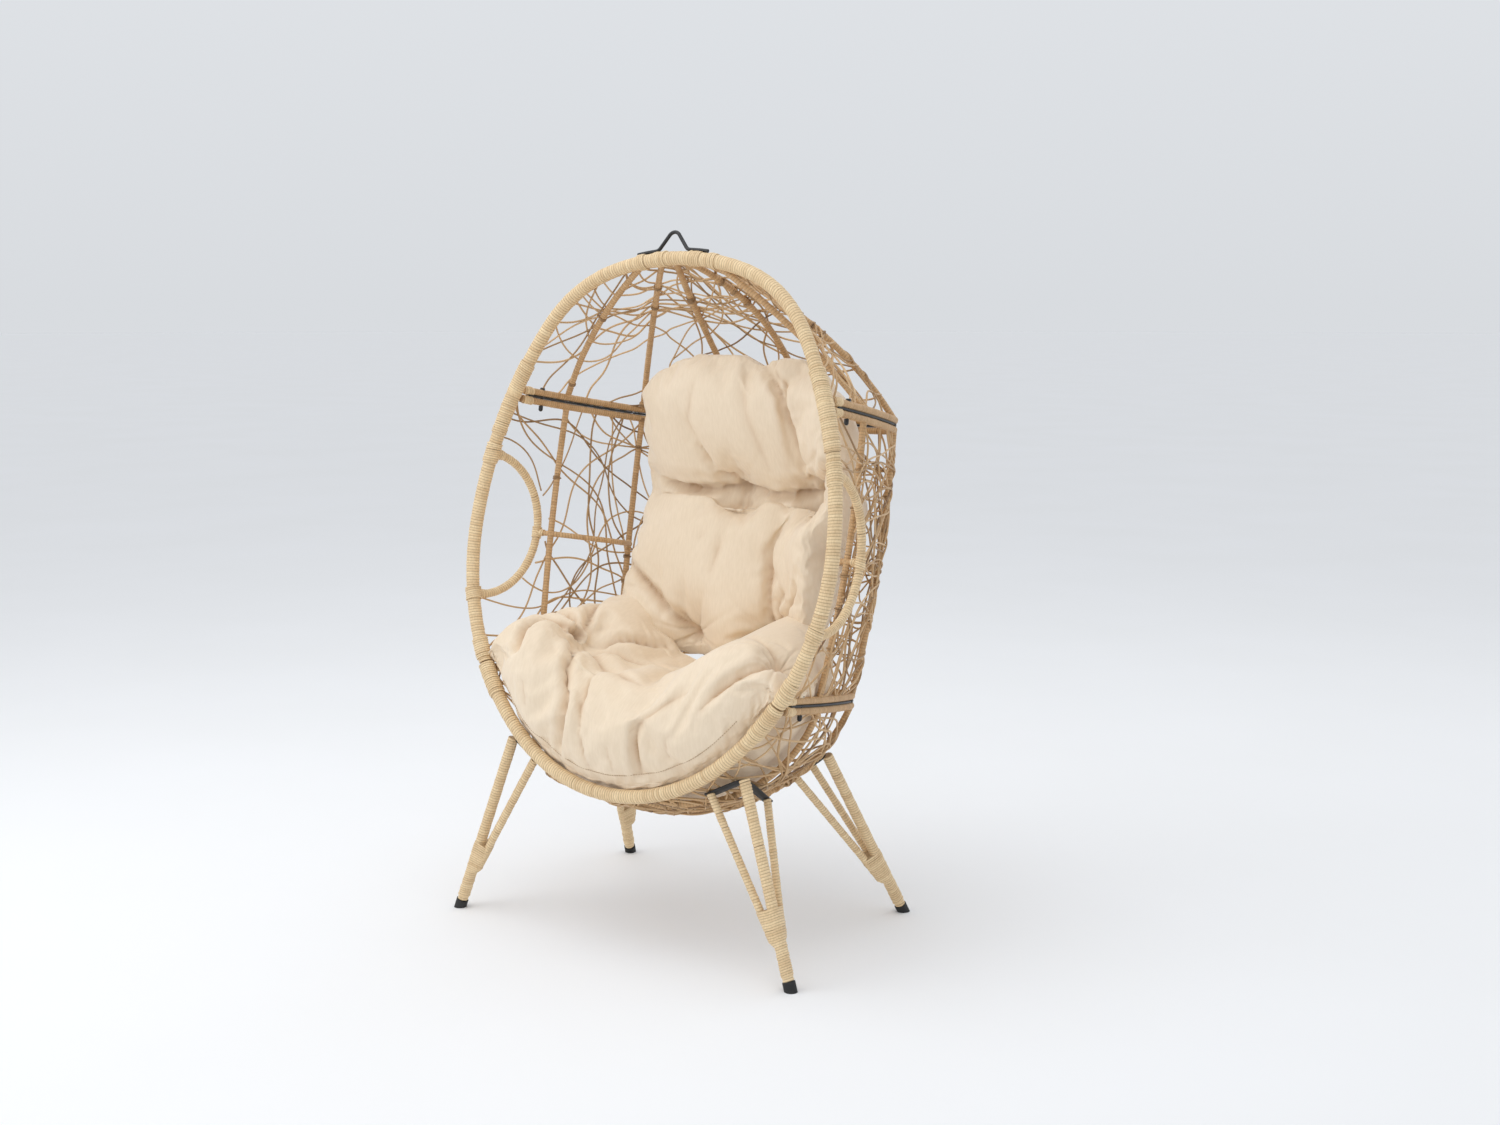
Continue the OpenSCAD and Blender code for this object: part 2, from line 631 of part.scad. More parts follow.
function sided(p, side) = [side * p[0], p[1], p[2]];
function leg_foot(row, side) = sided(feet[row], side);
function leg_top(row, side, i) = sided(chair_point(leg_tops[row][i]), side);
function along(a, b, f) = a + f * (b - a);
function unit(v) = v / norm(v);
function cap_top(row, side) =
  let (f = leg_foot(row, side)) f + cap_h * unit(leg_top(row, side, 0) - f);
// A brace comes down beside the main tube, on its own side of it
function brace_foot(row, side, i) =
  let (t = leg_top(row, side, 0), f = leg_foot(row, side), axis = unit(f - t),
       away = leg_top(row, side, i) - t, across = unit(away - (away * axis) * axis))
  along(t, f, brace_end) + brace_spread * across;

module leg_main(row, side) {
  color(wrap_colour) rod(leg_top(row, side, 0), cap_top(row, side), leg_d);
}
module leg_braces(row, side) {
  color(wrap_colour) for (i = [1, 2]) rod(leg_top(row, side, i), brace_foot(row, side, i), brace_d);
}
hull_fn = 32;
// Flat steel bracket across the three tube tops
module leg_bracket(row, side) {
  a = leg_top(row, side, 0);
  b = leg_top(row, side, 1);
  c = leg_top(row, side, 2);
  n = let (w = unit(cross(b - a, c - a))) w[2] < 0 ? -w : w;
  tilt = acos(n[2]);
  turn = atan2(n[1], n[0]);
  x_axis = [cos(turn) * cos(tilt), sin(turn) * cos(tilt), -sin(tilt)];
  y_axis = [-sin(turn), cos(turn), 0];
  flat = [for (p = [a, b, c]) [(p - a) * x_axis, (p - a) * y_axis]];
  color(steel_colour) translate(a) rotate([0, tilt, turn]) hull()
    for (p = flat) translate(p) cylinder(h = bracket_t, r = bracket_edge, $fn = hull_fn);
}
module leg_binding(row, side) {
  t = leg_top(row, side, 0);
  f = leg_foot(row, side);
  v = f - t;
  outline = [for (i = [0 : 2]) [binding_d[i] / 2, binding_stations[i] * norm(v)]];
  translate(t) rotate([0, acos(v[2] / norm(v)), atan2(v[1], v[0])])
    rotate_extrude() polygon(concat([[0, outline[0][1]]], outline, [[0, outline[2][1]]]));
}
module each_leg() {
  for (row = [FRONT, REAR], side = [LEFT, RIGHT]) {
    $row = row;
    $side = side;
    children();
  }
}
module leg_bindings() {
  color(wrap_colour) each_leg() leg_binding($row, $side);
}
// Rubber cap in line with the leg, cut flat where it stands on the ground
module foot_caps() {
  color(steel_colour) each_leg() difference() {
    rod(cap_top($row, $side), along(cap_top($row, $side), leg_foot($row, $side), cap_blank),
      foot_cap_d);
    translate(leg_foot($row, $side) - cutter * [0.5, 0.5, 1]) cube(cutter);
  }
}

// ---- Cushion: a back pad and a seat pad, sewn together along the fold between them ----
back_pad_r = 55;
seat_pad_r = 60;
pad_clearance = 5;
// Rows of the back pad, from the top: height, depth and how far the row has slid to the right
back_rows = [[1230, 214, 65], [1120, 300, 65], [1020, 350, 60], [790, 335, 0]];
back_top_inset = 30;
// How far each outer edge, left and right, stands out past its rows and forwards of them
back_wings = [[35, 30], [40, 75]];
back_wing_rows = 3;
module back_pad_ball(row, side, wing) {
  reach = back_cushion_w / 2 - back_pad_r - (row == 0 ? back_top_inset : 0);
  translate([back_rows[row][2] + side * (reach + wing[0]), back_rows[row][1] - wing[1],
    back_rows[row][0]])
    sphere(r = back_pad_r, $fn = hull_fn);
}
module back_cushion() {
  color(cushion_colour) in_basket() {
    hull() for (side = [LEFT, RIGHT], row = [0 : len(back_rows) - 1]) back_pad_ball(row, side, [0, 0]);
    for (side = [LEFT, RIGHT]) hull() for (row = [0 : back_wing_rows - 1], out = [0, 1])
      back_pad_ball(row, side, out * back_wings[side == LEFT ? 0 : 1]);
  }
}
// Headings of the hoop that the outline of the seat pad follows
seat_headings = [115, 128, 146, 166];
// Rows of the seat pad: how far behind the hoop, how much lower, and its share of the full width
seat_rows = [[30, 0, 1], [160, -20, 0.9], [280, 8, 0.72]];
module seat_cushion() {
  inset = seat_pad_r + hoop_d / 2 + pad_clearance;
  color(cushion_colour) in_basket() hull()
    for (side = [LEFT, RIGHT], heading = seat_headings, row = seat_rows) {
      p = hoop_point(heading, side) - inset * [side * sin(heading), 0, cos(heading)];
      translate([p[0] * row[2], row[0], p[2] + row[1]]) sphere(r = seat_pad_r, $fn = hull_fn);
    }
}

hood_hoop();
hood_seam_bar();
hood_rib(0, LEFT);  // hood_rib_rear_left
hood_rib(1, LEFT);  // hood_rib_corner_left
hood_rib(2, LEFT);  // hood_rib_side_left
hood_rib(0, RIGHT);  // hood_rib_rear_right
hood_rib(1, RIGHT);  // hood_rib_corner_right
hood_rib(2, RIGHT);  // hood_rib_side_right
hood_weave();
side_hoop(LEFT);  // side_hoop_left
side_hoop(RIGHT);  // side_hoop_right
middle_top_bar();
middle_bottom_bar();
middle_rib(0, LEFT);  // middle_rib_rear_left
middle_rib(1, LEFT);  // middle_rib_corner_left
middle_rib(2, LEFT);  // middle_rib_side_left
middle_rib(0, RIGHT);  // middle_rib_rear_right
middle_rib(1, RIGHT);  // middle_rib_corner_right
middle_rib(2, RIGHT);  // middle_rib_side_right
arm_loop(LEFT);  // arm_loop_left
arm_loop(RIGHT);  // arm_loop_right
arm_crossbar(LEFT);  // arm_crossbar_left
arm_crossbar(RIGHT);  // arm_crossbar_right
middle_weave();
bowl_hoop();
bowl_seam_bar();
bowl_rib(0, LEFT);  // bowl_rib_rear_left
bowl_rib(1, LEFT);  // bowl_rib_corner_left
bowl_rib(2, LEFT);  // bowl_rib_side_left
bowl_rib(0, RIGHT);  // bowl_rib_rear_right
bowl_rib(1, RIGHT);  // bowl_rib_corner_right
bowl_rib(2, RIGHT);  // bowl_rib_side_right
bowl_weave();
upper_seam_strip();
lower_seam_strip();
seam_bolts();
seam_nuts();
hanging_hook();
leg_main(FRONT, LEFT);  // front_left_leg
leg_main(FRONT, RIGHT);  // front_right_leg
leg_main(REAR, LEFT);  // rear_left_leg
leg_main(REAR, RIGHT);  // rear_right_leg
leg_braces(FRONT, LEFT);  // front_left_braces
leg_braces(FRONT, RIGHT);  // front_right_braces
leg_braces(REAR, LEFT);  // rear_left_braces
leg_braces(REAR, RIGHT);  // rear_right_braces
leg_bracket(FRONT, LEFT);  // front_left_bracket
leg_bracket(FRONT, RIGHT);  // front_right_bracket
leg_bracket(REAR, LEFT);  // rear_left_bracket
leg_bracket(REAR, RIGHT);  // rear_right_bracket
leg_bindings();
foot_caps();
back_cushion();
seat_cushion();
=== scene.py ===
"""Standing egg chair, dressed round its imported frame: wound tubes, random weave and a tufted cushion.

Metres, +Z up, front towards -Y. Basket points are (across, back, up) in the leaning plane of the hoop.
"""

import logging
import math
from dataclasses import dataclass, field
from enum import Enum
from typing import Callable, Iterable, Sequence

import bpy
import numpy as np
from mathutils import Matrix, Vector
from numpy.typing import NDArray


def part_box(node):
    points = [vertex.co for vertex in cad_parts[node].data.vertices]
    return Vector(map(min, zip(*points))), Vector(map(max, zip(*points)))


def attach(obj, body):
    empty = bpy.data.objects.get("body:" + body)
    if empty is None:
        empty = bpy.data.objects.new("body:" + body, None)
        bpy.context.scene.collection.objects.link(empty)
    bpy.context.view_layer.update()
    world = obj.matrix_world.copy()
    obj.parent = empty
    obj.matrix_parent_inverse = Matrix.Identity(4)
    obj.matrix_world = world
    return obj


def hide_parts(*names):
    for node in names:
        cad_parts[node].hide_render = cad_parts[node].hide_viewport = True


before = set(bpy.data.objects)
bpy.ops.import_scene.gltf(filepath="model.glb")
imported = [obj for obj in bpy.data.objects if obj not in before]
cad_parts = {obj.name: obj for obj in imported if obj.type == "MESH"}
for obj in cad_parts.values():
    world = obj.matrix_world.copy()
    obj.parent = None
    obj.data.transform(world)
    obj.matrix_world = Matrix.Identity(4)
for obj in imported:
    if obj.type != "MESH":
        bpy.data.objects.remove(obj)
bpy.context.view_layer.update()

Array = NDArray[np.float64]
Place = tuple[float, float, float]
Colour = tuple[float, float, float]
LOG = logging.getLogger("egg_chair")
FRAME_BODY = "frame"
CUSHION_BODY = "cushion"
TAU = 2 * math.pi
FORWARDS = np.array([0.0, -1.0, 0.2])


class Side(Enum):
    """Side of the chair, as the sign of X."""

    LEFT = -1
    RIGHT = 1


class Section(Enum):
    """Bolted section of the basket."""

    HOOD = "hood"
    MIDDLE = "middle"
    BOWL = "bowl"


# ---------------------------------------------------------------------------------------------
# Vectors and meshes
# ---------------------------------------------------------------------------------------------


def unit(v: Array) -> Array:
    """Vectors along the last axis, scaled to length one."""
    return v / np.maximum(np.linalg.norm(v, axis=-1, keepdims=True), 1e-12)


def smooth(x: Array) -> Array:
    """Smooth step from 0 to 1, flat outside that range."""
    x = np.clip(x, 0.0, 1.0)
    return x * x * (3 - 2 * x)


def distances(path: Array) -> Array:
    """Distance along a polyline at each of its points."""
    return np.concatenate([[0.0], np.cumsum(np.linalg.norm(np.diff(path, axis=0), axis=1))])


def at_distance(path: Array, stations: Array) -> Array:
    """Points of a polyline at these distances along it."""
    along = distances(path)
    return np.stack([np.interp(stations, along, path[:, k]) for k in range(3)], axis=1)


def arc_through(a: Array, m: Array, b: Array, count: int = 60) -> Array:
    """Points on the circular arc from a through m to b.

    Args:
        a: First point.
        m: Point between them.
        b: Last point.
        count: Number of points.

    Returns:
        An array of count points.
    """
    u, v = m - a, b - a
    w = np.cross(u, v)
    centre = a + (u @ u * np.cross(v, w) + v @ v * np.cross(w, u)) / (2 * w @ w)
    normal = unit(w)
    r = a - centre
    q = np.cross(normal, r)
    sweep = math.atan2((b - centre) @ q, (b - centre) @ r) % TAU
    t = np.linspace(0, sweep, count)[:, None]
    return centre + r * np.cos(t) + q * np.sin(t)


def ring_frames(path: Array, hint: Array) -> tuple[Array, Array]:
    """Two directions square to a path at each point, carried along without twist.

    Args:
        path: Points of the path.
        hint: Rough direction of the first one at the start.

    Returns:
        The two arrays of directions.
    """
    tangents = unit(np.gradient(path, axis=0))
    first = np.empty_like(path)
    side = hint - (hint @ tangents[0]) * tangents[0]
    if np.linalg.norm(side) < 1e-6:
        side = np.cross(tangents[0], [0.0, 1.0, 0.0])
    for i, tangent in enumerate(tangents):
        side = side - (side @ tangent) * tangent
        side = side / np.linalg.norm(side)
        first[i] = side
    return first, np.cross(tangents, first)


def spokes(path: Array, hint: Array, sides: int) -> Array:
    """Directions round a path, evenly spread from the hint, at each of its points.

    Args:
        path: Points of the path.
        hint: Rough direction of the first one.
        sides: Number of directions.

    Returns:
        An array (points, sides, 3).
    """
    first, second = ring_frames(path, hint)
    angles = np.linspace(0, TAU, sides, endpoint=False)
    cosines, sines = np.cos(angles)[None, :, None], np.sin(angles)[None, :, None]
    return first[:, None, :] * cosines + second[:, None, :] * sines


def evened(path: Array, rounds: int) -> Array:
    """A path with its bends evened out so many times and its ends kept.

    Args:
        path: Points of the path.
        rounds: Number of times.

    Returns:
        The evened path.
    """
    path = path.copy()
    for _ in range(rounds):
        path[1:-1] = (path[:-2] + 2 * path[1:-1] + path[2:]) / 4
    return path


@dataclass
class Shell:
    """Mesh data in the making: points, faces and values at the points."""

    points: list[Array] = field(default_factory=list)
    faces: list[list[int]] = field(default_factory=list)
    values: dict[str, list[Array]] = field(default_factory=dict)
    count: int = 0

    def add(self, points: Array, faces: Iterable[Sequence[int]], **values: Array) -> None:
        """Adds one closed piece.

        Args:
            points: Its points.
            faces: Its faces, numbered from its own first point.
            values: One number for each point, under each name.
        """
        base = self.count
        self.points.append(points)
        self.faces.extend([i + base for i in f] for f in faces)
        for name, numbers in values.items():
            self.values.setdefault(name, []).append(numbers)
        self.count += len(points)

    def build(self, name: str) -> bpy.types.Object:
        """Makes the object, shaded smooth, with its values as attributes.

        Args:
            name: Name of the object.

        Returns:
            The object, linked to the scene.
        """
        mesh = bpy.data.meshes.new(name)
        mesh.from_pydata(np.concatenate(self.points).tolist(), [], self.faces)
        mesh.update()
        for key, lists in self.values.items():
            attribute = mesh.attributes.new(key, "FLOAT", "POINT")
            attribute.data.foreach_set("value", np.concatenate(lists).astype(np.float32))
        mesh.polygons.foreach_set("use_smooth", [True] * len(mesh.polygons))
        piece = bpy.data.objects.new(name, mesh)
        bpy.context.scene.collection.objects.link(piece)
        return piece


def tube_faces(rings: int, sides: int) -> list[list[int]]:
    """Faces of a closed tube of so many rings, with flat ends.

    Args:
        rings: Number of rings.
        sides: Points on a ring.

    Returns:
        The faces, numbered ring by ring.
    """
    faces = []
    for i in range(rings - 1):
        for j in range(sides):
            k = (j + 1) % sides
            faces.append([i * sides + j, i * sides + k, (i + 1) * sides + k, (i + 1) * sides + j])
    faces.append(list(range(sides - 1, -1, -1)))
    faces.append([(rings - 1) * sides + j for j in range(sides)])
    return faces


def add_strand(shell: Shell, path: Array, hint: Array, radius: float, sides: int, shade: float,
               groove: float = 0.0) -> None:
    """Adds a thin round strand.

    Args:
        shell: Mesh that takes it.
        path: Centreline.
        hint: Direction of its first side.
        radius: Radius.
        sides: Number of sides.
        shade: Tone of the strand, from 0 to 1.
        groove: How far it is darkened, from 0 to 1.
    """
    points = path[:, None, :] + radius * spokes(path, hint, sides)
    total = len(path) * sides
    shell.add(points.reshape(-1, 3), tube_faces(len(path), sides),
              shade=np.full(total, shade), groove=np.full(total, groove))


# ---------------------------------------------------------------------------------------------
# The basket's own geometry
# ---------------------------------------------------------------------------------------------


@dataclass(frozen=True)
class ArcChain:
    """Tangent arcs in a plane; a heading is measured clockwise from straight across at the start."""

    arcs: tuple[tuple[float, float], ...]
    start: float

    def centre(self, i: int) -> Array:
        """Centre of arc number i.

        Args:
            i: Number of the arc.

        Returns:
            The centre, across and along.
        """
        c = np.array([0.0, self.start - self.arcs[0][0]])
        for (r0, end), (r1, _) in zip(self.arcs[:i], self.arcs[1:i + 1]):
            turn = math.radians(end)
            c = c + (r0 - r1) * np.array([math.sin(turn), math.cos(turn)])
        return c

    def point(self, heading: float) -> Array:
        """Point where the chain has turned to this heading, in degrees.

        Args:
            heading: The heading.

        Returns:
            The point, across and along.
        """
        i = next((k for k, (_, end) in enumerate(self.arcs) if heading <= end), len(self.arcs) - 1)
        turn = math.radians(heading)
        return self.centre(i) + self.arcs[i][0] * np.array([math.sin(turn), math.cos(turn)])

    def heading_at(self, level: float, low: float = 0.0, high: float = 180.0) -> float:
        """Heading at which the chain has come down to a level, by halving.

        Args:
            level: The level.
            low: Heading above it.
            high: Heading below it.

        Returns:
            The heading, in degrees.
        """
        for _ in range(40):
            middle = (low + high) / 2
            low, high = (middle, high) if self.point(middle)[1] > level else (low, middle)
        return (low + high) / 2


@dataclass(frozen=True)
class Basket:
    """Driving sizes of the basket, the same as the frame's design, and the points they give."""

    plane_foot_y: float = -0.387
    lean: float = math.radians(12.8)
    hoop_top: float = 1.491
    hoop_r: float = 0.015
    crown: tuple[float, float] = (0.575, 18.0)
    shoulder: tuple[float, float] = (0.303, 58.0)
    flank: tuple[float, float] = (0.890, 88.0)
    hip: tuple[float, float] = (0.560, 141.0)
    upper_seam: float = 1.189
    lower_seam: float = 0.580
    depth: float = 0.445
    seam_rise: float = math.radians(3.1)
    rear_end: float = 7.5
    corner_end: float = 73.0
    corner_r: float = 0.085
    bar_r: float = 0.008
    bar_lift: float = 0.0105
    rib_r: float = 0.00725
    rib_headings: tuple[float, float] = (2.1, 57.0)
    side_rib_back: float = 0.170
    rib_gap: float = 0.004
    hood_bow_at: float = 0.55
    hood_tops: tuple[tuple[float, float], ...] = ((0.016, 0.012), (0.052, 0.012), (0.094, 0.002))
    hood_bulges: tuple[Place, ...] = ((0.041, 0.017, 0.034), (0.017, 0.016, 0.041), (0.018, -0.008, 0.009))
    middle_bulges: tuple[Place, ...] = ((0.004, 0.006, 0.0), (0.010, 0.008, 0.0), (0.012, 0.004, 0.0))
    bowl_feet: tuple[tuple[float, float], ...] = ((0.014, 0.006), (0.046, 0.006), (0.084, 0.006))
    bowl_bulges: tuple[Place, ...] = (
        (0.010, 0.044, -0.116), (0.042, 0.038, -0.092), (0.070, 0.014, -0.056))

    def hoop(self) -> ArcChain:
        """The front hoop, closed by a keel arc centred on the middle plane."""
        arcs = (self.crown, self.shoulder, self.flank, self.hip)
        across, last = 0.0, 0.0
        for r, end in arcs:
            across += r * (math.sin(math.radians(end)) - math.sin(math.radians(last)))
            last = end
        return ArcChain(arcs + ((across / math.sin(math.radians(last)), 180.0),), self.hoop_top)

    def seam(self, level: float) -> ArcChain:
        """A seam's outline, from the middle of the back round a rear corner to the hoop.

        Args:
            level: Height of the seam at the hoop.

        Returns:
            The outline's arcs.
        """
        hoop = self.hoop()
        half_w = hoop.point(hoop.heading_at(level))[0]
        rear, corner = math.radians(self.rear_end), math.radians(self.corner_end)
        w = half_w - self.corner_r * (math.sin(corner) - math.sin(rear))
        v = self.depth - self.corner_r * (math.cos(rear) - math.cos(corner))
        sizes = np.array([[math.sin(rear), 1 - math.sin(corner)],
                          [1 - math.cos(rear), math.cos(corner)]])
        rear_r, side_r = np.linalg.solve(sizes, [w, v])
        arcs = ((rear_r, self.rear_end), (self.corner_r, self.corner_end), (side_r, 90.0))
        return ArcChain(arcs, self.depth)

    def headings(self) -> list[float]:
        """Headings along a seam of the rear, corner and side ribs and the hoop."""
        seam = self.seam(self.upper_seam)
        return [*self.rib_headings, seam.heading_at(self.side_rib_back, 0.0, 90.0), 90.0]

    def seam_point(self, level: float, heading: float, lift: float) -> Array:
        """Point of a seam on the right-hand side, lifted square to it.

        Args:
            level: Height of the seam at the hoop.
            heading: Heading along it.
            lift: Distance above it.

        Returns:
            The point, in the basket's frame.
        """
        x, back = self.seam(level).point(heading)
        c, s = math.cos(self.seam_rise), math.sin(self.seam_rise)
        return np.array([x, back * c - lift * s, level + back * s + lift * c])

    def hoop_point(self, heading: float, inset: float = 0.0) -> Array:
        """Point of the hoop on the right-hand side, moved inwards by inset.

        Args:
            heading: Heading along the hoop.
            inset: Distance inwards.

        Returns:
            The point, in the basket's frame.
        """
        x, up = self.hoop().point(heading)
        turn = math.radians(heading)
        return np.array([x - inset * math.sin(turn), 0.0, up - inset * math.cos(turn)])

    def to_chair(self, points: Array) -> Array:
        """Basket points, or one point, in the chair's frame.

        Args:
            points: Points in the basket's frame.

        Returns:
            The same points in the chair's frame.
        """
        p = np.asarray(points, float)
        c, s = math.cos(self.lean), math.sin(self.lean)
        return np.stack([p[..., 0], self.plane_foot_y + p[..., 2] * s + p[..., 1] * c,
                         p[..., 2] * c - p[..., 1] * s], axis=-1)

    def to_basket(self, points: Array) -> Array:
        """Chair points in the basket's frame.

        Args:
            points: Points in the chair's frame.

        Returns:
            The same points in the basket's frame.
        """
        c, s = math.cos(self.lean), math.sin(self.lean)
        y = points[..., 1] - self.plane_foot_y
        return np.stack([points[..., 0], y * c - points[..., 2] * s, y * s + points[..., 2] * c], axis=-1)

    def space(self, node: str) -> tuple[Array, Array]:
        """Lowest and highest corners of a frame node, in the basket's frame."""
        points = self.to_basket(np.array([v.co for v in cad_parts[node].data.vertices]))
        return points.min(axis=0), points.max(axis=0)

    def rib(self, section: Section, i: int) -> tuple[Array, Array, Array]:
        """Top, bulge and foot of rib i on the right-hand side; number 3 is the hoop itself.

        Args:
            section: Section of the basket.
            i: Number of the rib, from the rear.

        Returns:
            Its top, the bulge at its middle, and its foot.
        """
        heading = self.headings()[i]
        hoop = self.hoop()
        upper, lower = hoop.heading_at(self.upper_seam), hoop.heading_at(self.lower_seam)
        if section is Section.HOOD:
            foot = self.seam_point(self.upper_seam, heading, self.bar_lift)
            if i < 3:
                across, back = self.hood_tops[i]
                turn = min(math.degrees(math.asin(across / self.crown[0])), self.crown[1])
                top = np.array([across, back, hoop.point(turn)[1] - self.rib_gap])
                return top, np.array(self.hood_bulges[i]), foot
            first = math.degrees(math.asin(self.hood_tops[2][0] / self.crown[0]))
            a, m = self.hoop_point(first), self.hoop_point(first + self.hood_bow_at * (upper - first))
            b = self.hoop_point(upper)
            return a, m - (a + b) / 2, foot
        if section is Section.MIDDLE:
            top = self.seam_point(self.upper_seam, heading, -self.bar_lift)
            foot = self.seam_point(self.lower_seam, heading, self.bar_lift)
            if i < 3:
                return top, np.array(self.middle_bulges[i]), foot
            m = self.hoop_point((upper + lower) / 2)
            return top, m - (self.hoop_point(upper) + self.hoop_point(lower)) / 2, foot
        top = self.seam_point(self.lower_seam, heading, -self.bar_lift)
        keel = hoop.arcs[4][0]
        if i < 3:
            across, back = self.bowl_feet[i]
            up = hoop.point(180.0)[1] + keel - math.sqrt(keel * keel - across * across) + self.rib_gap
            return top, np.array(self.bowl_bulges[i]), np.array([across, back, up])
        last = 180 - math.degrees(math.asin(self.bowl_feet[2][0] / keel))
        a, b, m = self.hoop_point(last), self.hoop_point(lower), self.hoop_point((last + lower) / 2)
        return top, m - (a + b) / 2, a

    def rib_path(self, section: Section, i: int, side: Side) -> Array:
        """Centreline of a rib, from its top to its foot, in the basket's frame.

        Args:
            section: Section of the basket.
            i: Number of the rib, from the rear.
            side: Side of the chair.

        Returns:
            Points along it.
        """
        a, bulge, b = self.rib(section, i)
        path = arc_through(a, (a + b) / 2 + bulge, b)
        return path * np.array([side.value, 1, 1])

    def hoop_path(self, first: float, last: float, count: int = 200) -> Array:
        """Hoop centreline between two headings; negative ones are on the left.

        Args:
            first: First heading.
            last: Last heading.
            count: Number of points.

        Returns:
            The points, in the basket's frame.
        """
        points = []
        for heading in np.linspace(first, last, count):
            turned = heading if heading <= 180 else heading - 360
            p = self.hoop_point(abs(turned))
            points.append([math.copysign(p[0], turned), p[1], p[2]])
        return np.array(points)

    def bar_path(self, level: float, lift: float, count: int = 200) -> Array:
        """Centreline of a seam bar, round the back from the left of the hoop to the right.

        Args:
            level: Height of the seam at the hoop.
            lift: Distance above it.
            count: About how many points.

        Returns:
            The points, in the basket's frame.
        """
        half = [self.seam_point(level, h, lift) for h in np.linspace(0, 89, count // 2)]
        right = np.array(half)
        left = right[:0:-1] * np.array([-1, 1, 1])
        return np.concatenate([left, right])


# ---------------------------------------------------------------------------------------------
# Finishes
# ---------------------------------------------------------------------------------------------

Socket = bpy.types.NodeSocket
WHITE: Colour = (1, 1, 1)


class NodeSheet:
    """A material's node tree, with short ways to add and join nodes."""

    def __init__(self, name: str) -> None:
        """Makes the material and its main shader.

        Args:
            name: Name of the material.
        """
        self.material = bpy.data.materials.new(name)
        self.material.use_nodes = True
        self.tree = self.material.node_tree
        self.shader = self.tree.nodes["Principled BSDF"]

    def node(self, kind: str, **settings: object) -> bpy.types.Node:
        """Adds a node of this kind with these settings.

        Args:
            kind: Blender's name for the kind of node.
            settings: Its settings.

        Returns:
            The node.
        """
        n = self.tree.nodes.new(kind)
        for key, value in settings.items():
            setattr(n, key, value)
        return n

    def link(self, output: Socket, target: Socket) -> None:
        """Joins an output to an input."""
        self.tree.links.new(output, target)

    def attribute(self, name: str) -> Socket:
        """The number kept at the points under this name."""
        return self.node("ShaderNodeAttribute", attribute_name=name).outputs["Fac"]

    def place(self) -> Socket:
        """Place on the object, in metres."""
        return self.node("ShaderNodeTexCoord").outputs["Object"]

    def noise(self, scale: float, detail: float = 3.0, stretch: Colour = (1, 1, 1)) -> Socket:
        """Noise over the object, at so many features a metre, stretched along an axis if asked.

        Args:
            scale: Features a metre.
            detail: Layers of finer noise.
            stretch: Scale along each axis.

        Returns:
            The noise, from 0 to 1.
        """
        mapping = self.node("ShaderNodeMapping")
        mapping.inputs["Scale"].default_value = stretch
        self.link(self.place(), mapping.inputs["Vector"])
        n = self.node("ShaderNodeTexNoise")
        n.inputs["Scale"].default_value = scale
        n.inputs["Detail"].default_value = detail
        self.link(mapping.outputs["Vector"], n.inputs["Vector"])
        return n.outputs["Fac"]

    def ramp(self, value: Socket, stops: Sequence[tuple[float, Colour]]) -> Socket:
        """Colours laid out along a value.

        Args:
            value: The value.
            stops: Places along it and their colours.

        Returns:
            The colour.
        """
        n = self.node("ShaderNodeValToRGB")
        elements = n.color_ramp.elements
        while len(elements) < len(stops):
            elements.new(0.5)
        for element, (position, colour) in zip(elements, stops):
            element.position = position
            element.color = (*colour, 1)
        self.link(value, n.inputs["Fac"])
        return n.outputs["Color"]

    def maths(self, operation: str, a: Socket, b: Socket | float) -> Socket:
        """A sum on two values.

        Args:
            operation: Blender's name for the sum.
            a: First value.
            b: Second value, or a number.

        Returns:
            The result.
        """
        n = self.node("ShaderNodeMath", operation=operation)
        self.link(a, n.inputs[0])
        if isinstance(b, float):
            n.inputs[1].default_value = b
        else:
            self.link(b, n.inputs[1])
        return n.outputs[0]

    def mix(self, share: Socket | float, a: Socket,
            b: Colour | Socket, mode: str = "MIX") -> Socket:
        """Colour a turned towards b by a share.

        Args:
            share: The share, from 0 to 1.
            a: First colour.
            b: Second colour.
            mode: How they mix.

        Returns:
            The mixed colour.
        """
        n = self.node("ShaderNodeMix", data_type="RGBA", blend_type=mode)
        if isinstance(share, float):
            n.inputs["Factor"].default_value = share
        else:
            self.link(share, n.inputs["Factor"])
        self.link(a, n.inputs["A"])
        if isinstance(b, tuple):
            n.inputs["B"].default_value = (*b, 1)
        else:
            self.link(b, n.inputs["B"])
        return n.outputs["Result"]

    def bump(self, height: Socket, strength: float, distance: float) -> None:
        """Fine relief from a height.

        Args:
            height: The height.
            strength: Strength of the relief.
            distance: Its depth, in metres.
        """
        n = self.node("ShaderNodeBump")
        n.inputs["Strength"].default_value = strength
        n.inputs["Distance"].default_value = distance
        self.link(height, n.inputs["Height"])
        self.link(n.outputs["Normal"], self.shader.inputs["Normal"])

    def colour(self, output: Socket) -> None:
        """Sets the surface colour."""
        self.link(output, self.shader.inputs["Base Color"])

    def roughness(self, value: Socket, low: float, high: float) -> None:
        """Roughness that follows a value between two limits.

        Args:
            value: The value.
            low: Roughness at 0.
            high: Roughness at 1.
        """
        n = self.node("ShaderNodeMapRange")
        n.inputs["To Min"].default_value = low
        n.inputs["To Max"].default_value = high
        self.link(value, n.inputs["Value"])
        self.link(n.outputs["Result"], self.shader.inputs["Roughness"])


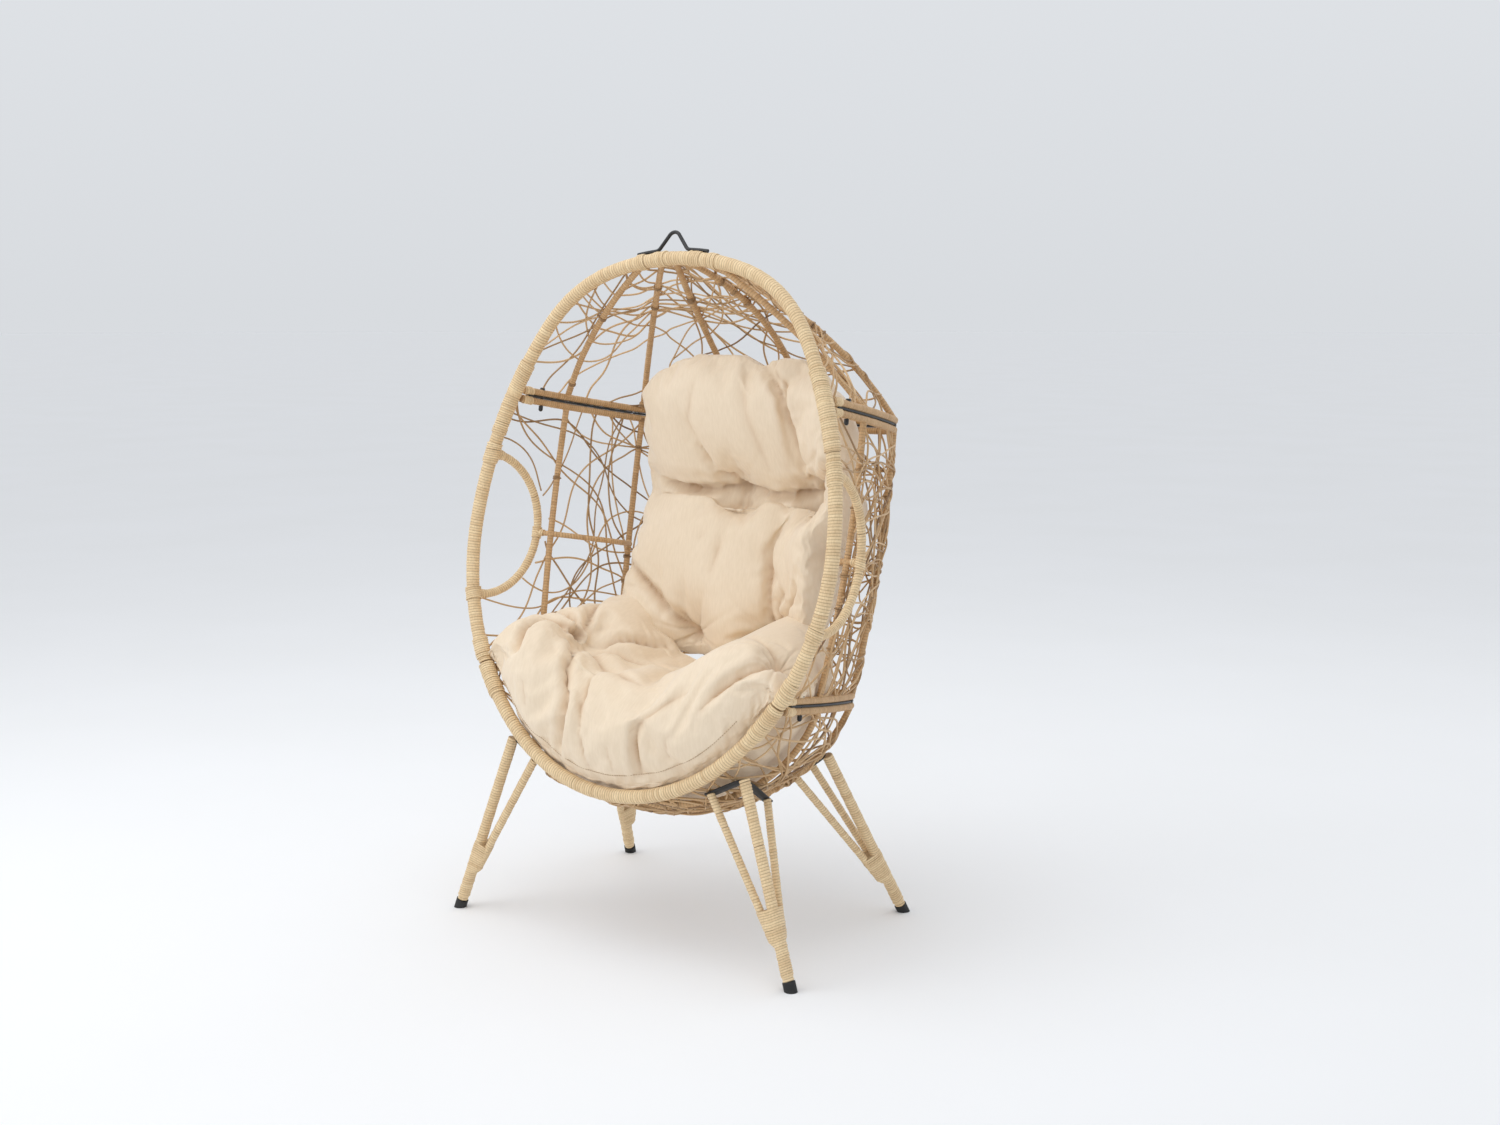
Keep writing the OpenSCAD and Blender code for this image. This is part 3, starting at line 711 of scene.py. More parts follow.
@dataclass(frozen=True)
class WoundFinish:
    """Flat plastic strand wound round a tube: tan, varying from turn to turn, with painted shade between
    turns.
    """

    name: str
    light: Colour
    deep: Colour
    # Colour of the painted shade in the grooves between turns.
    gap: Colour
    turn_share: float = 0.7
    cloud_scale: float = 9.0
    streak_scale: float = 420.0
    streak_dark: Colour = (0.86, 0.84, 0.80)
    rough_scale: float = 60.0
    rough: tuple[float, float] = (0.42, 0.62)
    grain: float = 900.0

    def material(self) -> bpy.types.Material:
        """Builds the material."""
        sheet = NodeSheet(self.name)
        turns = sheet.maths("MULTIPLY", sheet.attribute("shade"), self.turn_share)
        cloud = sheet.maths("MULTIPLY", sheet.noise(self.cloud_scale, 4.0), 1 - self.turn_share)
        tone = sheet.ramp(sheet.maths("ADD", turns, cloud), [(0.15, self.deep), (0.75, self.light)])
        grainy = sheet.noise(self.streak_scale, 2.0, (1, 1, 0.25))
        streaks = sheet.ramp(grainy, [(0.35, self.streak_dark), (0.65, WHITE)])
        streaked = sheet.mix(1.0, tone, streaks, "MULTIPLY")
        # Painted shade: the grooves between turns are darkened towards the gap colour.
        sheet.colour(sheet.mix(sheet.attribute("groove"), streaked, self.gap))
        sheet.roughness(sheet.noise(self.rough_scale), *self.rough)
        sheet.bump(sheet.noise(self.grain, 2.0), 0.12, 0.0004)
        return sheet.material


@dataclass(frozen=True)
class StrandFinish:
    """Round weaving strand, from tan to brown along its length, satin."""

    name: str
    light: Colour
    middle: Colour
    dark: Colour
    strand_share: float = 0.75
    cloud_scale: float = 22.0
    rough_scale: float = 80.0
    rough: tuple[float, float] = (0.38, 0.6)
    grain: float = 1200.0

    def material(self) -> bpy.types.Material:
        """Builds the material."""
        sheet = NodeSheet(self.name)
        strand = sheet.maths("MULTIPLY", sheet.attribute("shade"), self.strand_share)
        cloud = sheet.maths("MULTIPLY", sheet.noise(self.cloud_scale), 1 - self.strand_share)
        stops = [(0.18, self.dark), (0.5, self.middle), (0.85, self.light)]
        base = sheet.ramp(sheet.maths("ADD", strand, cloud), stops)
        sheet.colour(sheet.mix(sheet.attribute("groove"), base, self.dark))
        sheet.roughness(sheet.noise(self.rough_scale), *self.rough)
        sheet.bump(sheet.noise(self.grain, 2.0), 0.1, 0.0003)
        return sheet.material


@dataclass(frozen=True)
class BlackFinish:
    """Powder-coated steel or moulded rubber: near black, faintly uneven, rubbed lighter in places."""

    name: str
    base: Colour
    rubbed: Colour
    rough: tuple[float, float]
    grain: float

    def material(self) -> bpy.types.Material:
        """Builds the material."""
        sheet = NodeSheet(self.name)
        sheet.colour(sheet.ramp(sheet.noise(45.0, 5.0), [(0.45, self.base), (0.8, self.rubbed)]))
        sheet.roughness(sheet.noise(30.0, 4.0), *self.rough)
        sheet.bump(sheet.noise(self.grain, 2.0), 0.25, 0.0004)
        return sheet.material


@dataclass(frozen=True)
class FabricFinish:
    """Fine plain-weave cover cloth with a soft sheen, with painted shade in its folds and round its tufts."""

    name: str
    light: Colour
    shade: Colour
    # Colour of the painted shade in folds and round tufts.
    fold: Colour
    threads: float = 900.0
    cloud_scale: float = 5.0
    slub_scale: float = 260.0
    slub_dark: Colour = (0.95, 0.94, 0.92)
    rough_scale: float = 12.0
    rough: tuple[float, float] = (0.62, 0.78)

    def material(self) -> bpy.types.Material:
        """Builds the material."""
        sheet = NodeSheet(self.name)
        base = sheet.ramp(sheet.noise(self.cloud_scale, 4.0), [(0.3, self.shade), (0.7, self.light)])
        uneven = sheet.noise(self.slub_scale, 2.0, (1, 0.2, 0.2))
        slubs = sheet.ramp(uneven, [(0.3, self.slub_dark), (0.7, WHITE)])
        cloth = sheet.mix(1.0, base, slubs, "MULTIPLY")
        # Painted shade: the cloth is darkened towards the fold colour in folds and round tufts.
        sheet.colour(sheet.mix(sheet.attribute("fold"), cloth, self.fold))
        sheet.roughness(sheet.noise(self.rough_scale), *self.rough)
        weave = [self.threads_across(sheet, axis) for axis in ("X", "Z")]
        sheet.bump(sheet.maths("ADD", *weave), 0.18, 0.0003)
        sheet.shader.inputs["Sheen Weight"].default_value = 0.35
        sheet.shader.inputs["Sheen Roughness"].default_value = 0.4
        return sheet.material

    def threads_across(self, sheet: NodeSheet, axis: str) -> Socket:
        """One set of threads, side by side along an axis.

        Args:
            sheet: Material's node sheet.
            axis: X, Y or Z.

        Returns:
            Height of the threads.
        """
        n = sheet.node("ShaderNodeTexWave", bands_direction=axis)
        n.inputs["Scale"].default_value = self.threads / TAU
        n.inputs["Distortion"].default_value = 1.5
        sheet.link(sheet.place(), n.inputs["Vector"])
        return n.outputs["Fac"]


@dataclass(frozen=True)
class FloorFinish:
    """Pale seamless paper."""

    name: str = "pale_paper"
    tone: float = 0.93

    def material(self) -> bpy.types.Material:
        """Builds the material."""
        sheet = NodeSheet(self.name)
        low, high = self.tone * 0.985, self.tone
        stops = [(0.3, (low, low, low)), (0.7, (high, high, high * 1.005))]
        sheet.colour(sheet.ramp(sheet.noise(1.2), stops))
        sheet.shader.inputs["Roughness"].default_value = 0.85
        return sheet.material


# Painted shade laid into the grooves between wound turns.
WRAP_GAP_SHADE = (0.20, 0.105, 0.045)
HOOP_WRAP = WoundFinish("hoop_wrap", (0.90, 0.70, 0.43), (0.74, 0.53, 0.30), WRAP_GAP_SHADE)
RIB_WRAP = WoundFinish("rib_wrap", (0.66, 0.425, 0.215), (0.52, 0.31, 0.14), WRAP_GAP_SHADE)
WEAVE_STRAND = StrandFinish("weave_strand", (0.70, 0.485, 0.27), (0.54, 0.345, 0.17), (0.24, 0.135, 0.06))
BLACK_STEEL = BlackFinish("black_steel", (0.012, 0.012, 0.013), (0.035, 0.034, 0.033), (0.35, 0.55), 700.0)
BLACK_RUBBER = BlackFinish("black_rubber", (0.014, 0.014, 0.014), (0.04, 0.04, 0.04), (0.6, 0.8), 300.0)
# The third colour is the painted shade in the cloth's folds.
COVER_CLOTH = FabricFinish("cover_cloth", (0.88, 0.74, 0.57), (0.83, 0.685, 0.51), (0.50, 0.29, 0.14))
SEAM_THREAD = StrandFinish("seam_thread", (0.62, 0.46, 0.30), (0.5, 0.36, 0.22), (0.3, 0.2, 0.12))


class Palette:
    """Materials made once and shared by the pieces."""

    def __init__(self) -> None:
        """Builds every finish."""
        self.hoop = HOOP_WRAP.material()
        self.rib = RIB_WRAP.material()
        self.strand = WEAVE_STRAND.material()
        self.steel = BLACK_STEEL.material()
        self.rubber = BLACK_RUBBER.material()
        self.cloth = COVER_CLOTH.material()
        self.thread = SEAM_THREAD.material()
        paper = FloorFinish()
        self.floor = paper.material()
        self.floor_tone = paper.tone


def finish_piece(piece: bpy.types.Object, material: bpy.types.Material, body: str, slot: str,
                 *nodes: str) -> bpy.types.Object:
    """Dresses a piece, sets it on its body, logs how near it keeps to the box of the frame nodes that it
    replaces, and hides them.

    Args:
        piece: The piece.
        material: Its material.
        body: Body it rides on.
        slot: The record's material slot; not used.
        nodes: Frame nodes that it replaces.

    Returns:
        The piece.
    """
    piece.data.materials.clear()
    piece.data.materials.append(material)
    if nodes:
        points = np.array([v.co for v in piece.data.vertices])
        boxes = np.array([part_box(node) for node in nodes])
        low, high = boxes[:, 0].min(axis=0), boxes[:, 1].max(axis=0)
        off = np.abs([points.min(axis=0) - low, points.max(axis=0) - high])
        LOG.info("%s: within %.1f mm of the box of its frame nodes", piece.name, 1000 * off.max())
    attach(piece, body)
    if nodes:
        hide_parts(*nodes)
    LOG.info("%s: %d faces on %s", piece.name, len(piece.data.polygons), body)
    return piece


# ---------------------------------------------------------------------------------------------
# Wound tubes
# ---------------------------------------------------------------------------------------------


@dataclass(frozen=True)
class Winding:
    """How strand is wound round a tube: width of a turn, groove between turns and unevenness."""

    pitch: float
    groove: float
    uneven: float
    slant: float
    sides: int = 20
    loose_every: int = 34

    def turns(self, length: float, rng: np.random.Generator) -> tuple[Array, Array, Array, Array]:
        """Rings of the wound surface.

        Args:
            length: Length of the tube.
            rng: Source of the unevenness.

        Returns:
            Stations along the tube, height over the tube's radius, tone of each turn and how much painted
            shade each groove takes.
        """
        count = max(2, round(length / self.pitch))
        widths = 1 + self.uneven * 60 * rng.uniform(-1, 1, count)
        edges = np.concatenate([[0.0], np.cumsum(widths)]) * length / widths.sum()
        tone = np.clip(0.55 + 0.2 * rng.standard_normal(count), 0, 1)
        swell = self.uneven * rng.uniform(-1, 1, count)
        loose = rng.random(count) < 1 / self.loose_every
        stations, heights, tones, groove_shades = [], [], [], []
        for i in range(count):
            depth = self.groove * (1.9 if loose[i] else 1.0)
            for share, drop, dark in ((0.0, 1.0, 1.0), (0.2, 0.2, 0.0), (0.5, 0.0, 0.0), (0.8, 0.2, 0.0)):
                stations.append(edges[i] + share * (edges[i + 1] - edges[i]))
                heights.append(swell[i] * (1 - drop) - depth * drop)
                tones.append(tone[i])
                # Painted shade at each groove, darker at a loose turn.
                groove_shades.append(dark * (1.0 if loose[i] else 0.55))
        stations.append(length)
        heights.append(-self.groove)
        tones.append(tone[-1])
        groove_shades.append(0.5)
        return np.array(stations), np.array(heights), np.array(tones), np.array(groove_shades)

    def wind(self, shell: Shell, path: Array, radius: Callable[[Array, Array], Array] | float,
             rng: np.random.Generator, hint: Array = FORWARDS) -> None:
        """Adds a wound tube along a path in the chair's frame.

        Args:
            shell: Mesh that takes it.
            path: Centreline, closely spaced.
            radius: Radius, or a function of stations and angles that gives it.
            rng: Source of the unevenness.
            hint: Direction from which angles are measured.
        """
        length = distances(path)[-1]
        stations, heights, tones, groove_shades = self.turns(length, rng)
        angles = np.linspace(0, TAU, self.sides, endpoint=False)
        outwards = spokes(at_distance(path, stations), hint, self.sides)
        phase = rng.uniform(0, TAU)
        slanted = stations[:, None] + self.slant * np.sin(angles + phase)[None, :]
        slanted = np.clip(slanted, 0, length)
        centres = at_distance(path, slanted.ravel()).reshape(len(stations), self.sides, 3)
        if callable(radius):
            reach = radius(stations, angles)
        else:
            reach = np.full((len(stations), self.sides), radius)
        reach = reach + heights[:, None]
        points = centres + reach[..., None] * outwards
        # The groove attribute carries the painted shade between turns.
        shell.add(points.reshape(-1, 3), tube_faces(len(stations), self.sides),
                  shade=np.repeat(tones, self.sides), groove=np.repeat(groove_shades, self.sides))


HOOP_WINDING = Winding(0.0062, 0.0011, 0.00035, 0.0012, 24)
RIB_WINDING = Winding(0.0066, 0.00035, 0.0002, 0.0012, 14, 60)
BAND_WINDING = Winding(0.0052, 0.0013, 0.0006, 0.0022, 22, 12)


@dataclass
class BasketFrame:
    """The wound hoop, seam bars, ribs, arm loops and crossbars, with the bands at their joints."""

    basket: Basket
    palette: Palette
    section_cut: float = 0.15
    loop_r: float = 0.160
    loop_up: float = 0.890
    loop_x: float = 0.457
    loop_tube_r: float = 0.0095
    loop_in: float = 0.017
    loop_depth: float = 0.167
    crossbar_r: float = 0.0065
    band_over: float = 0.0024

    def tube(self, name: str, path: Array, radius: float, winding: Winding, seed: int, slot: str,
             nodes: Sequence[str]) -> bpy.types.Object:
        """Winds one tube and stands it for frame nodes.

        Args:
            name: Name of the piece.
            path: Centreline, in the basket's frame.
            radius: Radius of the tube.
            winding: How it is wound.
            seed: Seed of the unevenness.
            slot: The record's material slot.
            nodes: Frame nodes that it replaces.

        Returns:
            The piece.
        """
        shell = Shell()
        winding.wind(shell, self.basket.to_chair(path), radius, np.random.default_rng(seed))
        material = self.palette.hoop if slot == "wrapped_tube" else self.palette.rib
        return finish_piece(shell.build(name), material, FRAME_BODY, slot, *nodes)

    def hoops(self) -> None:
        """The four lengths of the front hoop."""
        hoop = self.basket.hoop()
        upper = hoop.heading_at(self.basket.upper_seam)
        lower = hoop.heading_at(self.basket.lower_seam)
        cut, r = self.section_cut, self.basket.hoop_r
        lengths = [("hood_hoop", cut - upper, upper - cut, 1),
                   ("side_hoop_left", -lower + cut, -upper - cut, 2),
                   ("side_hoop_right", upper + cut, lower - cut, 3),
                   ("bowl_hoop", lower + cut, 360 - lower - cut, 4)]
        for node, first, last, seed in lengths:
            path = self.basket.hoop_path(first, last)
            self.tube("wound_" + node, path, r, HOOP_WINDING, seed, "wrapped_tube", [node])

    def bars(self) -> None:
        """The two bars of each seam."""
        b = self.basket
        rows = [("hood_seam_bar", b.upper_seam, b.bar_lift), ("middle_top_bar", b.upper_seam, -b.bar_lift),
                ("middle_bottom_bar", b.lower_seam, b.bar_lift), ("bowl_seam_bar", b.lower_seam, -b.bar_lift)]
        for k, (node, level, lift) in enumerate(rows):
            path = b.bar_path(level, lift)
            self.tube("wound_" + node, path, b.bar_r, RIB_WINDING, 10 + k, "rib_wrap", [node])

    def ribs(self) -> None:
        """The eighteen ribs."""
        for s, section in enumerate(Section):
            for i, place in enumerate(("rear", "corner", "side")):
                for side in Side:
                    node = f"{section.value}_rib_{place}_{side.name.lower()}"
                    path = self.basket.rib_path(section, i, side)
                    seed = 20 + 6 * s + 2 * i + (side is Side.RIGHT)
                    self.tube("wound_" + node, path, self.basket.rib_r, RIB_WINDING, seed, "rib_wrap", [node])

    def loop_path(self, side: Side) -> Array:
        """Centreline of an arm loop.

        Args:
            side: Side of the chair.

        Returns:
            The points, from the bottom to the top.
        """
        flip = np.array([side.value, 1, 1])
        low = np.array([self.loop_x, 0, self.loop_up - self.loop_r])
        apex = np.array([self.loop_x - self.loop_in, self.loop_depth, self.loop_up])
        high = np.array([self.loop_x, 0, self.loop_up + self.loop_r])
        return arc_through(low, apex, high) * flip

    def crossbar_path(self, side: Side) -> Array:
        """Centreline of an arm crossbar, from the loop's apex past the side rib to the corner rib.

        Args:
            side: Side of the chair.

        Returns:
            The points, in the basket's frame.
        """
        a = np.array([self.loop_x - self.loop_in, self.loop_depth, self.loop_up])
        middles = []
        for i in (2, 1):
            top, bulge, foot = self.basket.rib(Section.MIDDLE, i)
            middles.append((top + foot) / 2 + bulge)
        m = np.array([middles[0][0], middles[0][1], self.loop_up])
        b = np.array([middles[1][0], middles[1][1], self.loop_up + 0.006])
        return arc_through(a, m, b) * np.array([side.value, 1, 1])

    def arm_window(self) -> tuple[float, float]:
        """Shares down the middle section at which an arm loop leaves the hoop and comes back to it."""
        b = self.basket
        top, foot = b.upper_seam - b.bar_lift, b.lower_seam + b.bar_lift
        return tuple((top - self.loop_up - way * self.loop_r) / (top - foot) for way in (1, -1))

    def arms(self) -> None:
        """Arm loops and crossbars."""
        for side in Side:
            name = side.name.lower()
            seed = 50 + side.value
            self.tube(f"wound_arm_loop_{name}", self.loop_path(side), self.loop_tube_r, HOOP_WINDING, seed,
                      "wrapped_tube", [f"arm_loop_{name}"])
            self.tube(f"wound_arm_crossbar_{name}", self.crossbar_path(side), self.crossbar_r, RIB_WINDING,
                      seed + 4, "rib_wrap", [f"arm_crossbar_{name}"])

    def bands(self) -> None:
        """Extra turns of strand over the joints of the hoop, bars, ribs and loops."""
        b = self.basket
        hoop = b.hoop()
        shell = Shell()
        rng = np.random.default_rng(77)
        upper, lower = hoop.heading_at(b.upper_seam), hoop.heading_at(b.lower_seam)
        loop_headings = [hoop.heading_at(self.loop_up + s * self.loop_r) for s in (1, -1)]
        spots = [(upper - 2.2, 2.6), (upper + 3.0, 3.4), (lower - 3.6, 2.4), (lower + 4.4, 4.0),
                 (loop_headings[0], 1.5), (loop_headings[1], 1.5), (4.6, 1.6), (9.4, 1.0)]
        for side in Side:
            for heading, half in spots:
                path = b.hoop_path(side.value * (heading - half), side.value * (heading + half), 12)
                over = self.band_over * rng.uniform(0.7, 1.2)
                BAND_WINDING.wind(shell, b.to_chair(path), b.hoop_r + over, rng)
            loop = self.loop_path(side)
            for run in (loop[::-1], loop):
                piece = at_distance(run, np.linspace(0.012, 0.034, 6))
                BAND_WINDING.wind(shell, b.to_chair(piece), self.loop_tube_r + 0.0018, rng)
            apex = at_distance(loop, 0.5 * distances(loop)[-1] + np.linspace(-0.013, 0.013, 6))
            BAND_WINDING.wind(shell, b.to_chair(apex), self.loop_tube_r + 0.0022, rng)
            crossbar = self.crossbar_path(side)
            for spot in (0.010, distances(crossbar)[-1] - 0.012):
                piece = at_distance(crossbar, spot + np.linspace(-0.008, 0.010, 5))
                BAND_WINDING.wind(shell, b.to_chair(piece), self.crossbar_r + 0.002, rng)
            for level, lift in ((b.upper_seam, 1), (b.upper_seam, -1), (b.lower_seam, 1), (b.lower_seam, -1)):
                bar = np.array([b.seam_point(level, h, lift * b.bar_lift) for h in np.linspace(89, 60, 80)])
                bar = bar * np.array([side.value, 1, 1])
                piece = at_distance(bar, np.linspace(0.006, 0.036, 8))
                BAND_WINDING.wind(shell, b.to_chair(piece), b.bar_r + 0.0018, rng)
        finish_piece(shell.build("joint_bands"), self.palette.hoop, FRAME_BODY, "wrapped_tube")

    def build(self) -> None:
        """Makes every wound piece of the basket."""
        self.hoops()
        self.bars()
        self.ribs()
        self.arms()
        self.bands()


@dataclass
class Legs:
    """Four splayed legs: a main tube and two braces each, bound together low down."""

    basket: Basket
    palette: Palette
    foot_x: tuple[float, float] = (0.451, 0.393)
    foot_span: float = 0.548
    front_foot_y: float = -0.297
    main_r: float = 0.012
    brace_r: float = 0.0085
    cap_h: float = 0.020
    brace_end: float = 0.74
    brace_spread: float = 0.017
    strap_w: float = 0.018
    strap_t: float = 0.004
    strap_past: float = 0.10
    bound_from: float = 0.61
    bound_to: float = 0.93
    strand_t: float = 0.0016
    brace_fade: float = 0.14
    tops: tuple[tuple[Place, ...], ...] = (
        ((0.312, 0.034, 0.424), (0.238, 0.028, 0.384), (0.316, 0.122, 0.384)),
        ((0.306, 0.352, 0.478), (0.266, 0.300, 0.424), (0.232, 0.392, 0.462)),
    )

    def top(self, row: int, side: Side, i: int) -> Array:
        """Top of tube i of a leg, in the chair's frame."""
        return self.basket.to_chair(np.array(self.tops[row][i])) * np.array([side.value, 1, 1])

    def foot(self, row: int, side: Side) -> Array:
        """Middle of a leg's sole."""
        return np.array([side.value * self.foot_x[row], self.front_foot_y + row * self.foot_span, 0.0])

    def brace_foot(self, row: int, side: Side, i: int) -> Array:
        """Lower end of a brace, beside the main tube.

        Args:
            row: Front or rear leg.
            side: Side of the chair.
            i: Number of the brace.

        Returns:
            The point, in the chair's frame.
        """
        top, foot = self.top(row, side, 0), self.foot(row, side)
        axis = unit(foot - top)
        away = self.top(row, side, i) - top
        across = unit(away - (away @ axis) * axis)
        return top + self.brace_end * (foot - top) + self.brace_spread * across

    def bound_radius(self, row: int, side: Side, axis_from: Array, axis_to: Array,
                     first: Array, second: Array) -> Callable[[Array, Array], Array]:
        """Radius of the binding: a strand pulled tight round the three tubes.

        Args:
            row: Front or rear leg.
            side: Side of the chair.
            axis_from: Start of the binding on the leg's axis.
            axis_to: Its end.
            first: Direction of angle zero, square to the axis.
            second: Direction a quarter turn on.

        Returns:
            A function of stations and angles.
        """
        axis = unit(axis_to - axis_from)
        braces = [(self.top(row, side, i), self.brace_foot(row, side, i)) for i in (1, 2)]
        fine = np.linspace(0, TAU, 72, endpoint=False)

        def radius(stations: Array, angles: Array) -> Array:
            """Reach of the binding at each station and angle."""
            rows = []
            for station in stations:
                point = axis_from + axis * station
                support = np.full(len(fine), self.main_r + self.strand_t)
                for top, end in braces:
                    run = end - top
                    t = ((point - top) @ axis) / (run @ axis)
                    at = top + run * t if t <= 1 else end + axis * ((point - end) @ axis)
                    fade = 1 - smooth(np.array((t - 1.0) / self.brace_fade))
                    offset = (at - point) * fade
                    reach = self.brace_r * fade + self.strand_t
                    lean = offset @ first * np.cos(fine) + offset @ second * np.sin(fine)
                    support = np.maximum(support, lean + reach)
                gauge = []
                for angle in angles:
                    facing = np.cos(fine - angle)
                    ok = facing > 0.2
                    gauge.append((support[ok] / facing[ok]).min())
                rows.append(gauge)
            return np.array(rows)

        return radius

    def strap(self, shell: Shell, row: int, side: Side) -> None:
        """Bent flat strap that joins the tops of a leg's three tubes under the basket.

        Args:
            shell: Mesh that takes it.
            row: Front or rear leg.
            side: Side of the chair.
        """
        middle, one, two = (self.top(row, side, i) for i in (0, 1, 2))
        normal = unit(np.cross(one - middle, two - middle))
        ends = [middle + (1 + self.strap_past) * (p - middle) for p in (one, two)]
        bend = middle + 0.2 * (one + two - 2 * middle)
        corners = np.array([ends[0], 0.5 * (ends[0] + middle), middle, 0.5 * (ends[1] + middle), ends[1]])
        length = np.linalg.norm(ends[0] - middle) + np.linalg.norm(ends[1] - middle)
        path = evened(at_distance(corners, np.linspace(0, length, 25)), 6)
        path = path + 0.15 * (bend - middle)
        along = unit(np.gradient(path, axis=0))
        across = unit(np.cross(normal, along))
        half, flat, bevel = self.strap_w / 2, self.strap_t / 2, self.strap_t / 4
        right = [(half - bevel, flat), (half, flat - bevel), (half, bevel - flat), (half - bevel, -flat)]
        outline = right + [(-a, t) for a, t in reversed(right)]
        points = np.stack([path + a * across + t * normal for a, t in outline], axis=1)
        shell.add(points.reshape(-1, 3), tube_faces(len(path), len(outline)))

    def build(self) -> None:
        """Makes the wound legs, braces and bindings."""
        bindings = Shell()
        straps = Shell()
        for row, place in enumerate(("front", "rear")):
            for side in Side:
                name = f"{place}_{side.name.lower()}"
                seed = 90 + 10 * row + side.value
                rng = np.random.default_rng(seed)
                top, foot = self.top(row, side, 0), self.foot(row, side)
                cap = foot + self.cap_h * unit(top - foot)
                main = Shell()
                HOOP_WINDING.wind(main, np.linspace(top, cap, 40), self.main_r, rng)
                finish_piece(main.build(f"wound_{name}_leg"), self.palette.hoop, FRAME_BODY, "wrapped_tube",
                             f"{name}_leg")
                braces = Shell()
                for i in (1, 2):
                    ends = np.linspace(self.top(row, side, i), self.brace_foot(row, side, i), 30)
                    HOOP_WINDING.wind(braces, ends, self.brace_r, rng)
                finish_piece(braces.build(f"wound_{name}_braces"), self.palette.hoop, FRAME_BODY,
                             "wrapped_tube", f"{name}_braces")
                self.strap(straps, row, side)
                start, end = (top + f * (foot - top) for f in (self.bound_from, self.bound_to))
                path = np.linspace(start, end, 40)
                first, second = ring_frames(path, FORWARDS)
                radius = self.bound_radius(row, side, start, end, first[0], second[0])
                BAND_WINDING.wind(bindings, path, radius, rng)
        finish_piece(bindings.build("wound_leg_bindings"), self.palette.hoop, FRAME_BODY, "wrapped_tube",
                     "leg_bindings")
        brackets = [f"{place}_{side.name.lower()}_bracket" for place in ("front", "rear") for side in Side]
        finish_piece(straps.build("leg_bracket_straps"), self.palette.steel, FRAME_BODY, "black_steel",
                     *brackets)


# ---------------------------------------------------------------------------------------------
# Random weave
# ---------------------------------------------------------------------------------------------


@dataclass
class SkinGrid:
    """Lookup of a section's surface: -3.5 to 3.5 across, ribs at the half numbers, and 0 to 1 down."""

    basket: Basket
    section: Section
    reach: float = 3.5
    columns: int = 141
    rows: int = 41

    def __post_init__(self) -> None:
        """Works out the grid of points and outward normals."""
        ribs = [self.basket.rib(self.section, i) for i in range(4)]
        headings = self.basket.headings()
        upper = self.section is Section.HOOD
        across = np.linspace(-self.reach, self.reach, self.columns)
        grid = np.empty((self.columns, self.rows, 3))
        t = np.linspace(0, 1, self.rows)
        for k, s in enumerate(across):
            at = min(max(abs(s) - 0.5, 0.0), 2.9999)
            i, f = int(at), at - int(at)
            heading = headings[i] + f * (headings[i + 1] - headings[i])
            a, bulge, b = (ribs[i][n] + f * (ribs[i + 1][n] - ribs[i][n]) for n in range(3))
            if self.section is not Section.BOWL:
                level = self.basket.upper_seam if upper else self.basket.lower_seam
                b = self.basket.seam_point(level, heading, self.basket.bar_lift)
            if self.section is not Section.HOOD:
                level = self.basket.upper_seam if self.section is Section.MIDDLE else self.basket.lower_seam
                a = self.basket.seam_point(level, heading, -self.basket.bar_lift)
            path = arc_through(a, (a + b) / 2 + bulge, b, self.rows)
            if abs(s) < 0.5:
                path[:, 0] *= s / 0.5
            grid[k] = path * np.array([1 if abs(s) < 0.5 else math.copysign(1, s), 1, 1])
        self.points = grid
        self.across_m = np.linalg.norm(np.gradient(grid, across, axis=0), axis=2)
        self.down_m = np.linalg.norm(np.gradient(grid, t, axis=1), axis=2)
        normals = np.cross(np.gradient(grid, axis=0), np.gradient(grid, axis=1))
        self.normals = unit(normals)

    def look(self, table: Array, s: Array, t: Array) -> Array:
        """Values of a table at places on the surface, blended between its entries.

        Args:
            table: The table.
            s: Places across.
            t: Places down.

        Returns:
            The values.
        """
        x = np.clip((s + self.reach) / (2 * self.reach) * (self.columns - 1), 0, self.columns - 1.001)
        y = np.clip(t * (self.rows - 1), 0, self.rows - 1.001)
        i, j = x.astype(int), y.astype(int)
        fx, fy = x - i, y - j
        if table.ndim == 3:
            fx, fy = fx[..., None], fy[..., None]
        return ((table[i, j] * (1 - fx) + table[i + 1, j] * fx) * (1 - fy)
                + (table[i, j + 1] * (1 - fx) + table[i + 1, j + 1] * fx) * fy)


@dataclass(frozen=True)
class Strand:
    """One length of weaving strand: its places on the surface and its lift from it."""

    s: Array
    t: Array
    lift: Array


